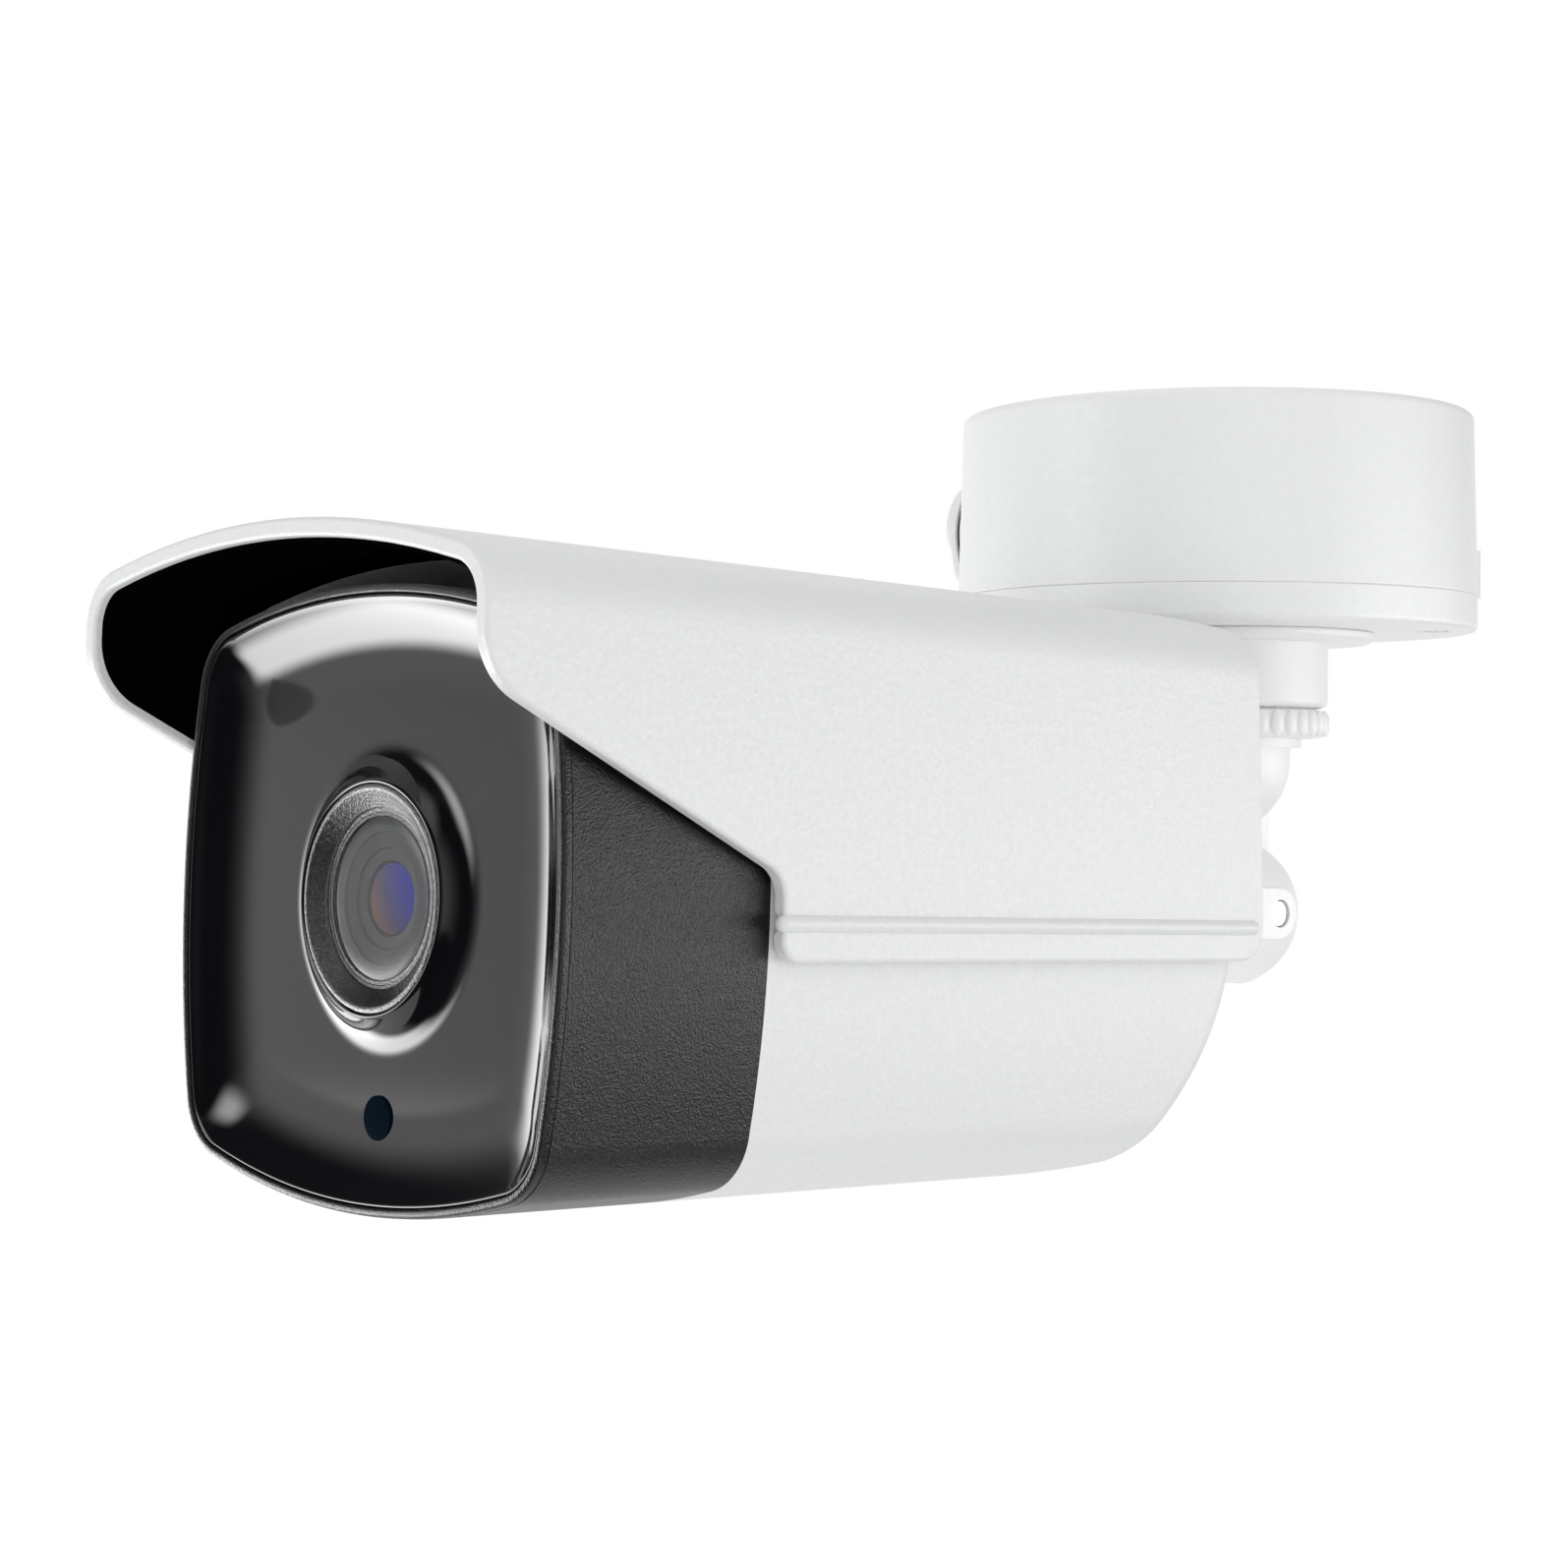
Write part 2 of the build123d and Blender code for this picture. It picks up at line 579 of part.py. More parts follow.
def make_main_housing():
    outer = housing_block(0, SEAM_Y)
    curved = [edge for edge in outer.edges() if edge.geom_type != GeomType.LINE]
    rear_edges = [edge for edge in curved if edge.center().Y > REAR_Y - BARREL_R]
    outer = fillet(rear_edges, REAR_EDGE)
    cavity = housing_block(HOUSING_WALL, SEAM_Y)
    body = outer - cavity
    for x, z in corner_places(CARRIER_BOSS_X, CARRIER_BOSS_Z):
        body += disc(CARRIER_BOSS_R, CARRIER_BACK + CARRIER_BOSS_L, CARRIER_BACK, x, z) & outer
        body -= disc(CARRIER_SCREW_R + SLIP, CARRIER_BACK + CARRIER_SCREW_L, CARRIER_BACK, x, z)
    body += [bar - cavity for bar in rail_bar(RAIL_R, RAIL_REAR, RAIL_FRONT)]
    neck = around_axis(swivel_neck(REAR_NECK_Y - REAR_Y + 2 * HOUSING_WALL), REAR_NECK_Y, 1)
    body += fillet(widest_rim(neck, REAR_NECK_Y, Axis.Y), NECK_EDGE)
    body -= disc(PIVOT_R + SLIP, REAR_NECK_Y + THREAD_H, REAR_Y - 2 * HOUSING_WALL)
    boss_top = AXIS_Z + SHIELD_TOP - SHIELD_WALL - RAIL_GAP
    boss_foot = AXIS_Z + BODY_HALF_H - HOUSING_WALL
    screw_place = Pos(0, SLOT_Y, 0)
    body += rod(SHIELD_BOSS_R, boss_top, boss_foot, screw_place)
    body -= rod(SHIELD_SCREW_R + SLIP, boss_top, boss_top - SHIELD_SCREW_GRIP, screw_place)
    return body - extrude(grommet_plane(0) * Circle(GROMMET_R), 2 * HOUSING_WALL, both=True)


def make_cable_grommet():
    flange = extrude(grommet_plane(0) * Circle(GROMMET_FLANGE_R), GROMMET_FLANGE_T)
    plug = extrude(grommet_plane(-HOUSING_WALL) * Circle(GROMMET_R - SLIP), HOUSING_WALL)
    lining = extrude(grommet_plane(0) * Circle(GROMMET_FLANGE_R), -GROMMET_FLANGE_T)
    seated = flange - housing_block(0, SEAM_Y)
    seated += plug + (lining - housing_block(0, SEAM_Y))
    return seated - extrude(grommet_plane(0) * Circle(GROMMET_HOLE_R), 2 * HOUSING_WALL, both=True)


LEDGE_Y = WINDOW_BACK + WINDOW_SEAL_T


def make_front_housing():
    shell = band(0, FRONT_WALL, SEAM_Y, FACE_Y)
    shell -= forward(pillow(BEZEL_W + SLIP), LEDGE_Y, FACE_Y)
    lip_outer = HOUSING_WALL + SLIP
    lip_inner = lip_outer + LIP_T
    shell += band(lip_outer, lip_inner, LIP_END, SEAM_Y)
    shell += band(0, lip_inner, SEAM_Y, SEAM_Y - LIP_T)
    for x, z in corner_places(CARRIER_BOSS_X, CARRIER_BOSS_Z):
        shell -= disc(CARRIER_HEAD_R + SLIP, LIP_END, CARRIER_FRONT - CARRIER_HEAD_T - SLIP, x, z)
    groove_y = SEAM_Y + LIP_L / 2
    return shell - band(lip_outer, lip_outer + SEAL_T, groove_y + SEAL_W / 2, groove_y - SEAL_W / 2)


def make_housing_seal():
    groove_y = SEAM_Y + LIP_L / 2
    inner = HOUSING_WALL + SLIP + SEAL_T
    return band(HOUSING_WALL + SLIP / 2, inner, groove_y + SEAL_W / 2, groove_y - SEAL_W / 2)


def make_bezel_ring():
    ring = forward(pillow(SLIP), FACE_Y, BEZEL_Y)
    ring = fillet(ring.edges().group_by(Axis.Y)[0], BEZEL_EDGE)
    return ring - forward(pillow(SLIP + BEZEL_W), FACE_Y, BEZEL_Y)


def make_window_seal():
    outer = BEZEL_W + 2 * SLIP
    return band(outer, FRONT_WALL, LEDGE_Y, WINDOW_BACK)


def make_front_window():
    edge = BEZEL_W + 2 * SLIP
    pane = forward(pillow(edge), WINDOW_BACK, RIM_Y)
    rim = facing(RIM_Y) * pillow(edge + WINDOW_RIM_W)
    floor = facing(WINDOW_Y) * pillow(edge + WINDOW_DISH_W)
    pane -= loft([rim, floor], ruled=True)
    slope = TURRET_R - LENS_RING_R - LENS_RING_EDGE
    turret = around_axis([(LENS_RING_R, -LENS_RING_PROUD), (LENS_RING_R + LENS_RING_EDGE, -LENS_RING_PROUD),
                          (LENS_RING_R + LENS_RING_EDGE + slope / 3, -LENS_RING_PROUD / 3),
                          (TURRET_R, 0), (TURRET_R, WINDOW_T), (LENS_RING_R, WINDOW_T)], WINDOW_Y, 1)
    pane += turret
    pane -= disc(LENS_RING_R + SLIP, WINDOW_BACK, LENS_RING_Y)
    return pane - disc(LIGHT_PIPE_R + SLIP, WINDOW_BACK, WINDOW_Y, 0, -LIGHT_PIPE_DROP)


# Lens and boards
def make_lens_shroud():
    bore = LENS_R + SLIP
    depth = LENS_SINK - 2 * SLIP
    rim = LENS_RING_R - LENS_RING_EDGE
    length = LED_FRONT - LENS_RING_Y
    return around_axis([(rim, 0), (LENS_RING_R, LENS_RING_EDGE), (LENS_RING_R, length), (bore, length),
                        (bore, depth), (rim - LENS_RING_EDGE, 0)], LENS_RING_Y, 1)


def make_lens_barrel():
    seat = FRONT_GLASS_R + SLIP
    step = FRONT_GLASS_T + SLIP
    tail = CARRIER_FRONT - LENS_FRONT - 2 * SLIP
    return around_axis([(seat, 0), (LENS_R, 0), (LENS_R, LENS_BODY_L), (LENS_TAIL_R, LENS_BODY_L),
                        (LENS_TAIL_R, tail), (LENS_BORE_R, tail), (LENS_BORE_R, step), (seat, step)],
                       LENS_FRONT, 1)


def make_lens_front_glass():
    dome_r = (FRONT_GLASS_R ** 2 + FRONT_GLASS_CROWN ** 2) / (2 * FRONT_GLASS_CROWN)
    base = disc(FRONT_GLASS_R, LENS_FRONT + FRONT_GLASS_T, LENS_FRONT - FRONT_GLASS_CROWN)
    return base & Pos(0, LENS_FRONT + dome_r - FRONT_GLASS_CROWN, AXIS_Z) * Sphere(dome_r)


def make_lens_rear_glass():
    back = CARRIER_FRONT - 2 * SLIP
    return disc(LENS_BORE_R - SLIP / 2, back, back - REAR_GLASS_T)


def make_lens_holder():
    block = fillet(Rectangle(HOLDER_W, HOLDER_W).vertices(), POST_R)
    block -= Circle(LENS_TAIL_R + SLIP)
    return forward(block, CARRIER_FRONT, CARRIER_FRONT - HOLDER_L)


def make_board_carrier():
    plate = forward(pillow(HOUSING_WALL + 2 * SLIP), CARRIER_BACK, CARRIER_FRONT)
    plate -= disc(LENS_BORE_R, CARRIER_BACK, CARRIER_FRONT)
    for x, z in corner_places(CARRIER_BOSS_X, CARRIER_BOSS_Z):
        plate -= disc(CARRIER_SCREW_R + SLIP, CARRIER_BACK, CARRIER_FRONT, x, z)
    return plate


def make_carrier_screws():
    screws = []
    for x, z in corner_places(CARRIER_BOSS_X, CARRIER_BOSS_Z):
        head = disc(CARRIER_HEAD_R, CARRIER_FRONT, CARRIER_FRONT - CARRIER_HEAD_T, x, z)
        shank = disc(CARRIER_SCREW_R, CARRIER_BACK + CARRIER_SCREW_L - SLIP, CARRIER_FRONT, x, z)
        screws.append(head + shank)
    return Part() + screws


def make_led_board():
    plate = forward(pillow(LED_BOARD_INSET), LED_FRONT + BOARD_T, LED_FRONT)
    return plate - disc(LENS_R + SLIP, LED_FRONT + BOARD_T, LED_FRONT)


def make_ir_leds():
    leds = []
    for x, z in corner_places(LED_X, LED_Z):
        base = disc(LED_R, LED_FRONT, LED_FRONT - LED_H, x, z)
        dome = Pos(x, LED_FRONT - LED_H, AXIS_Z + z) * Sphere(LED_R - SLIP)
        leds.append(base + (dome & disc(LED_R, LED_FRONT - LED_H, LED_FRONT - LED_H - LED_R, x, z)))
    return Part() + leds


def make_led_posts():
    back = CARRIER_FRONT
    front = LED_FRONT + BOARD_T
    return Part() + [disc(POST_R, back, front, x, z) for x, z in corner_places(POST_X, POST_Z)]


def make_light_pipe():
    return disc(LIGHT_PIPE_R, LED_FRONT, WINDOW_Y, 0, -LIGHT_PIPE_DROP)


POCKET_W = FILTER_W + FILTER_TRAVEL + 2 * FILTER_GAP
POCKET_X = FILTER_TRAVEL / 2
POCKET_T = FILTER_T + 2 * FILTER_GAP


def make_ir_cut_frame():
    outer_w = POCKET_W + 2 * FRAME_RIM
    outer_h = FILTER_W + 2 * FILTER_GAP + 2 * FRAME_RIM
    frame = forward(Pos(POCKET_X, 0) * Rectangle(outer_w, outer_h), SENSOR_FACE, CARRIER_BACK)
    pocket = Pos(POCKET_X, 0) * Rectangle(POCKET_W, FILTER_W + 2 * FILTER_GAP)
    frame -= forward(pocket, CARRIER_BACK + FRAME_T / 4 + POCKET_T, CARRIER_BACK + FRAME_T / 4)
    sight = Rectangle(SENSOR_W + 2 * SLIP, SENSOR_H + 2 * SLIP)
    return frame - forward(sight, SENSOR_FACE, CARRIER_BACK)


def make_ir_cut_filter():
    front = CARRIER_BACK + FRAME_T / 4 + FILTER_GAP
    return forward(Rectangle(FILTER_W, FILTER_W), front + FILTER_T, front)


def make_sensor_chip():
    return forward(Rectangle(SENSOR_W, SENSOR_H), SENSOR_FACE, SENSOR_FACE - SENSOR_T)


def make_sensor_board():
    return forward(Rectangle(SENSOR_BOARD_W, SENSOR_BOARD_W), SENSOR_FACE + BOARD_T, SENSOR_FACE)


def make_board_standoffs():
    reach = SENSOR_BOARD_W / 2 - 2 * POST_R
    front = SENSOR_FACE + BOARD_T
    return Part() + [disc(POST_R, MAIN_FACE, front, x, z) for x, z in corner_places(reach, reach)]


def make_main_board():
    return forward(Rectangle(MAIN_BOARD_W, MAIN_BOARD_W), MAIN_FACE + BOARD_T, MAIN_FACE)


def make_heat_sink():
    foot = MAIN_FACE + BOARD_T
    sink = forward(Rectangle(SINK_W, SINK_W), foot + SINK_BASE, foot)
    pitch = (SINK_W - SINK_FIN_T) / (SINK_FINS - 1)
    for i in range(SINK_FINS):
        fin = Pos(i * pitch - (SINK_W - SINK_FIN_T) / 2, 0) * Rectangle(SINK_FIN_T, SINK_W)
        sink += forward(fin, foot + SINK_BASE + SINK_FIN_H, foot + SINK_BASE)
    return sink


# Sun shield
def shield_section(inset):
    """Roof and skirts as one filled outline, drawn in by inset, open line at the skirts' lower edge."""
    half = SHIELD_HALF_W - inset
    top = SHIELD_TOP - inset
    radius = SHIELD_CROWN_R - inset
    shoulder = top - radius + sqrt(radius ** 2 - half ** 2)
    foot = -SHIELD_DROP
    roof = ThreePointArc((half, shoulder), (0, top), (-half, shoulder))
    sides = Polyline((-half, shoulder), (-half, foot), (half, foot), (half, shoulder))
    face = make_face(Curve() + [roof, sides])
    return fillet(face.vertices().group_by(Axis.Y)[-1], SHIELD_CORNER_R - inset)


def shield_side(edge, rear, skirt_front):
    """Side view of the shield, drawn in by edge along the visor's front and its slanted cut."""
    fall = sin(radians(SLANT)) / cos(radians(SLANT))
    shift = edge / cos(radians(SLANT))
    front = VISOR_FRONT + edge
    corner_z = SHIELD_TOP - VISOR_SIDE_H + shift - edge * fall
    knee_z = corner_z - (skirt_front - front) * fall
    lean = sin(radians(SHIELD_REAR_LEAN)) / cos(radians(SHIELD_REAR_LEAN))
    high = SHIELD_TOP + SHIELD_WALL
    corners = [(front, high), (front, corner_z), (skirt_front, knee_z), (skirt_front, -SHIELD_DROP),
               (rear + SHIELD_DROP * lean, -SHIELD_DROP), (rear - high * lean, high)]
    side = Plane(origin=(0, 0, AXIS_Z), x_dir=(0, 1, 0), z_dir=(1, 0, 0))
    block = extrude(side * make_face(Polyline(*corners, close=True)), 2 * SHIELD_HALF_W, both=True)
    radii = [VISOR_CORNER_R, SKIRT_CORNER_R, SKIRT_EDGE_R, SHIELD_REAR_CORNER_R]
    for (y, z), radius in zip(corners[1:5], radii):
        edge_line = block.edges().filter_by(Axis.X).sort_by_distance((0, y, AXIS_Z + z))[0]
        block = fillet(edge_line, radius)
    return block


def slot_bar(radius, top, bottom):
    """Upright bar with the outline of the roof's adjusting slot."""
    outline = SlotCenterToCenter(SHIELD_TRAVEL, 2 * radius, rotation=90)
    centre = Pos(0, SLOT_Y + SHIELD_TRAVEL / 2, 0)
    return centre * extrude(below(top) * outline, top - bottom)


def rim_edges(shell):
    """Edges all round the shield's cut outline, without those that run through the wall."""
    foot = AXIS_Z - SHIELD_DROP
    lines = [e for e in shell.edges() if abs(e.tangent_at(0.5).Y) < 0.999 or e.center().Z < foot + SLIP]
    return [e for e in lines if abs(e.tangent_at(0.5).X) < 0.999 or e.length > SHIELD_WALL + SLIP]


def make_sunshield():
    shell = forward(shield_section(0), -BOX_R / 2, VISOR_FRONT)
    shell -= forward(shield_section(SHIELD_WALL), -BOX_R / 2, VISOR_FRONT)
    shell = shell & shield_side(0, SHIELD_REAR, SKIRT_FRONT)
    shell = fillet(rim_edges(shell), SHIELD_RIM_R)
    shell -= rail_bar(RAIL_R + RAIL_GAP, -BOX_R / 2, SKIRT_FRONT - BEAD_R)
    bead_x = SHIELD_HALF_W + BEAD_PROUD - BEAD_R
    bead_rear = SHIELD_REAR - SHIELD_REAR_CORNER_R / 2
    for side in (-1, 1):
        shell += disc(BEAD_R, bead_rear, SKIRT_FRONT, side * bead_x, -RAIL_DROP)
        for y in (bead_rear, SKIRT_FRONT):
            shell += Pos(side * bead_x, y, AXIS_Z - RAIL_DROP) * Sphere(BEAD_R)
    roof_top = AXIS_Z + SHIELD_TOP
    shell -= slot_bar(SHIELD_SCREW_R + RAIL_GAP, roof_top + SHIELD_WALL, roof_top - 2 * SHIELD_WALL)
    head_seat = roof_top - SHIELD_HEAD_SINK - RAIL_GAP
    return shell - slot_bar(SHIELD_HEAD_R + RAIL_GAP, roof_top + SHIELD_WALL, head_seat)


def make_visor_lining():
    skin = SHIELD_WALL + SLIP / 2
    liner = forward(shield_section(skin), LINING_REAR, VISOR_FRONT)
    liner -= forward(shield_section(skin + LINING_T), LINING_REAR, VISOR_FRONT)
    return liner & shield_side(LINING_EDGE, SHIELD_REAR, SKIRT_FRONT)


def make_shield_screw():
    place = Pos(0, SLOT_Y, 0)
    seat = AXIS_Z + SHIELD_TOP - SHIELD_HEAD_SINK
    foot = AXIS_Z + SHIELD_TOP - SHIELD_WALL - RAIL_GAP - SHIELD_SCREW_GRIP
    head = rod(SHIELD_HEAD_R, seat + SHIELD_HEAD_T, seat, place)
    return head + rod(SHIELD_SCREW_R, seat, foot + SLIP, place)


FIXED_PARTS = {
    "box_body": make_box_body,
    "box_cover": make_box_cover,
    "cover_gasket": make_cover_gasket,
    "cover_screws": make_cover_screws,
    "conduit_plug": make_conduit_plug,
    "plug_seal": make_plug_seal,
    "bracket_base": make_bracket_base,
    "base_screws": make_base_screws,
    "pan_lock_ring": make_pan_lock_ring,
    "swivel_arm": make_swivel_arm,
}

TILTED_PARTS = {
    "tilt_fork": make_tilt_fork,
    "tilt_bolt": make_tilt_bolt,
    "tilt_nut": make_tilt_nut,
    "roll_lock_ring": make_roll_lock_ring,
    "main_housing": make_main_housing,
    "cable_grommet": make_cable_grommet,
    "front_housing": make_front_housing,
    "housing_seal": make_housing_seal,
    "bezel_ring": make_bezel_ring,
    "window_seal": make_window_seal,
    "front_window": make_front_window,
    "lens_shroud": make_lens_shroud,
    "lens_barrel": make_lens_barrel,
    "lens_front_glass": make_lens_front_glass,
    "lens_rear_glass": make_lens_rear_glass,
    "lens_holder": make_lens_holder,
    "board_carrier": make_board_carrier,
    "carrier_screws": make_carrier_screws,
    "led_board": make_led_board,
    "ir_leds": make_ir_leds,
    "led_posts": make_led_posts,
    "light_pipe": make_light_pipe,
    "ir_cut_frame": make_ir_cut_frame,
    "ir_cut_filter": make_ir_cut_filter,
    "sensor_chip": make_sensor_chip,
    "sensor_board": make_sensor_board,
    "board_standoffs": make_board_standoffs,
    "main_board": make_main_board,
    "heat_sink": make_heat_sink,
    "sunshield": make_sunshield,
    "visor_lining": make_visor_lining,
    "shield_screw": make_shield_screw,
}

os.makedirs("parts", exist_ok=True)
nose_up = Pos(0, HINGE_Y, AXIS_Z) * Rot(-REST_TILT, 0, 0) * Pos(0, -HINGE_Y, -AXIS_Z)
for name, make in FIXED_PARTS.items():
    export_step(make(), f"parts/{name}.step")
for name, make in TILTED_PARTS.items():
    export_step(nose_up * make(), f"parts/{name}.step")
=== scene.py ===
"""Looks of a bullet security camera on a round ceiling junction box.

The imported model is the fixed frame. This add-on gives each of its nodes a finish, replaces the
front window, its frame, the lens, the light sensor, the lock rings and the cover screws with
finer pieces, and sets up the studio.
"""
import json
import math

import bmesh
import bpy
from mathutils import Matrix, Vector


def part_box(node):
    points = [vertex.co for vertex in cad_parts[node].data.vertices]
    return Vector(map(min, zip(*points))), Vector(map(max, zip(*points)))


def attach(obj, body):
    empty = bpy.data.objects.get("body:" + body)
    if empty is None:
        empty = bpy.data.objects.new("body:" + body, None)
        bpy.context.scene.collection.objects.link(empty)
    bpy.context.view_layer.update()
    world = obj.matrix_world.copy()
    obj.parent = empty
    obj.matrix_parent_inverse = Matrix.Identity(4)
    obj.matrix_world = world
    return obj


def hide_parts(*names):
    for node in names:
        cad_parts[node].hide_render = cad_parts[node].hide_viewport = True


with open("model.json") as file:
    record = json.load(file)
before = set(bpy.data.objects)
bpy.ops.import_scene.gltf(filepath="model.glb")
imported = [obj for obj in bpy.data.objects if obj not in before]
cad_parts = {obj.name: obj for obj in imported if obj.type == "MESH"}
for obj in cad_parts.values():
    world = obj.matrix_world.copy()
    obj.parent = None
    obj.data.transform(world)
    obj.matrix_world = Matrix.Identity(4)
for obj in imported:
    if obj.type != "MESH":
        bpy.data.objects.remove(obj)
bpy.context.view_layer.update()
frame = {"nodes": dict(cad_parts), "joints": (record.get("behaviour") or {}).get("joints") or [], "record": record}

bl_info = {
    "name": "Bullet camera looks",
    "version": (1, 0, 0),
    "blender": (4, 5, 0),
    "location": "3D View > Sidebar > Bullet camera",
    "description": "Finishes, fine pieces and studio for a bullet security camera",
    "category": "Object",
}

JOINTS = {joint["name"]: joint for joint in frame["joints"]}
HINGE = Vector(JOINTS["tilt"]["pos_m"])
FORWARD = Vector(JOINTS["shield_slide"]["axis"]).normalized()
ACROSS = Vector((1.0, 0.0, 0.0))
UPWARD = ACROSS.cross(-FORWARD)
MM = 0.001
RING_POINTS = 128

# Places along the level lens axis, in millimetres from the box axis
FACE_Y = -200.4
FRAME_Y = -202.0
RIM_Y = -201.6
PANE_Y = -196.8
PANE_BACK = -195.0
LENS_RING_Y = -200.0
GLASS_Y = -197.8
SHROUD_BACK = -187.6

# How gently the window's edge and its swell run out into the flat
DISH_POWER = 2.8
SWELL_POWER = 2.4

# Small sizes, in millimetres
FRAME_PLAY = 0.2
RIM_WIDTH = 0.7
RIM_DROP = 0.16
RING_PLAY = 0.5
GLASS_PLAY = 0.7
SENSOR_PROUD = 0.3
SENSOR_DOME = 0.16
COATED_RADIUS = 5.4
COATED_DOME = 0.8
GLASS_DOME = 0.8
RING_BORE = 19.5
RING_LIP_BORE = 16.9
RING_LIP = 1.5
RIDGE_EDGE = 1.1
SCREW_HEAD = 2.0
SCREW_SHANK = 1.6

# Fine rings in the lens cell, and their bead as a share of their radius
BAFFLE_RINGS = 5
BAFFLE_BEAD = 0.008

# Depth of a finger ridge, as a share of a round bar's
RIDGE_FLATNESS = 0.55

# Screws further apart than this, in radians about the box axis, are different ones
SCREW_GAP = 0.3

FLOOR_RADIUS = 6.0


def srgb(code):
    """Linear red, green and blue of an sRGB hex colour."""
    values = [int(code[i:i + 2], 16) / 255 for i in (1, 3, 5)]
    return [v / 12.92 if v <= 0.04045 else ((v + 0.055) / 1.055) ** 2.4 for v in values]


def rgba(colour):
    """Colour with full alpha."""
    return (*colour[:3], 1.0)


# Sizes and colours that a user would change
class FrontSizes(bpy.types.PropertyGroup):
    """Window, window frame and lens."""
    half_width: bpy.props.FloatProperty(
        name="Half width", description="Half the width of the camera's section",
        default=48.5 * MM, unit="LENGTH")
    half_height: bpy.props.FloatProperty(
        name="Half height", description="Half the height of the camera's section",
        default=46.8 * MM, unit="LENGTH")
    side_radius: bpy.props.FloatProperty(
        name="Side radius", description="Radius of the section's crowned sides",
        default=180 * MM, unit="LENGTH")
    crown_radius: bpy.props.FloatProperty(
        name="Crown radius", description="Radius of the section's top and bottom",
        default=140 * MM, unit="LENGTH")
    corner_radius: bpy.props.FloatProperty(
        name="Corner radius", description="Radius of the section's corners",
        default=11 * MM, unit="LENGTH")
    frame_width: bpy.props.FloatProperty(
        name="Frame width", description="Width of the frame round the window",
        default=1.3 * MM, unit="LENGTH")
    dish_depth: bpy.props.FloatProperty(
        name="Dish depth", description="How far the window lies behind its rim",
        default=4.8 * MM, unit="LENGTH")
    dish_width: bpy.props.FloatProperty(
        name="Dish width", description="Width of the window's sloping edge",
        default=15.0 * MM, unit="LENGTH")
    turret_radius: bpy.props.FloatProperty(
        name="Turret radius", description="Foot of the window's swell round the lens",
        default=24.0 * MM, unit="LENGTH")
    lens_ring_radius: bpy.props.FloatProperty(
        name="Lens ring radius", description="Outside of the lens ring",
        default=17.2 * MM, unit="LENGTH")
    glass_radius: bpy.props.FloatProperty(
        name="Glass radius", description="Outside of the front lens",
        default=12.3 * MM, unit="LENGTH")
    sensor_radius: bpy.props.FloatProperty(
        name="Sensor radius", description="Light sensor under the lens",
        default=3.4 * MM, unit="LENGTH")
    sensor_drop: bpy.props.FloatProperty(
        name="Sensor drop", description="Light sensor's distance below the lens axis",
        default=32.8 * MM, unit="LENGTH")


class RepeatSizes(bpy.types.PropertyGroup):
    """Ridges and screws."""
    ring_radius: bpy.props.FloatProperty(
        name="Ring radius", description="Outside of a lock ring",
        default=22.1 * MM, unit="LENGTH")
    ring_height: bpy.props.FloatProperty(
        name="Ring height", description="Height of a lock ring",
        default=5.5 * MM, unit="LENGTH")
    ridges: bpy.props.IntProperty(
        name="Ridges", description="Finger ridges round a lock ring",
        default=40, min=8, max=90)
    ridge_width: bpy.props.FloatProperty(
        name="Ridge width", description="Width of one finger ridge",
        default=2.7 * MM, unit="LENGTH")
    screw_radius: bpy.props.FloatProperty(
        name="Screw head radius", description="Head of a cover screw",
        default=3.2 * MM, unit="LENGTH")
    screw_circle: bpy.props.FloatProperty(
        name="Screw circle", description="Radius of the cover screws' circle",
        default=41.5 * MM, unit="LENGTH")


class FinishColours(bpy.types.PropertyGroup):
    """Colours of the finishes, written as sRGB."""
    shell: bpy.props.FloatVectorProperty(
        name="Shell", description="Powder coat of the housing and sun shield",
        subtype="COLOR", default=srgb("#E8E9EA"), min=0, max=1)
    box: bpy.props.FloatVectorProperty(
        name="Box", description="Paint of the junction box",
        subtype="COLOR", default=srgb("#F4F5F5"), min=0, max=1)
    bracket: bpy.props.FloatVectorProperty(
        name="Bracket", description="Powder coat of the bracket",
        subtype="COLOR", default=srgb("#FBFBFB"), min=0, max=1)
    front: bpy.props.FloatVectorProperty(
        name="Front housing", description="Grained plastic behind the window",
        subtype="COLOR", default=srgb("#101011"), min=0, max=1)
    window: bpy.props.FloatVectorProperty(
        name="Window", description="Smoked window",
        subtype="COLOR", default=srgb("#0A0A0F"), min=0, max=1)
    coating: bpy.props.FloatVectorProperty(
        name="Lens coating", description="Blue side of the lens coating",
        subtype="COLOR", default=srgb("#12149A"), min=0, max=1)


class StudioSettings(bpy.types.PropertyGroup):
    """Camera and light."""
    focal: bpy.props.FloatProperty(
        name="Focal length", description="Camera focal length on a 36 mm sensor",
        default=67.67, unit="CAMERA")
    yaw: bpy.props.FloatProperty(
        name="Yaw", description="How far the camera stands round to +X",
        default=0.8166, subtype="ANGLE")
    roll: bpy.props.FloatProperty(
        name="Roll", description="Camera roll",
        default=0.0054, subtype="ANGLE")
    place: bpy.props.FloatVectorProperty(
        name="Place", description="Camera place",
        default=(0.361924, -0.455151, -0.071588), subtype="TRANSLATION")
    sky: bpy.props.FloatProperty(
        name="Surround", description="Level of the white surround on the object",
        default=0.8, min=0)
    floor_drop: bpy.props.FloatProperty(
        name="Floor", description="Height of the floor below the ceiling",
        default=0.62, unit="LENGTH")


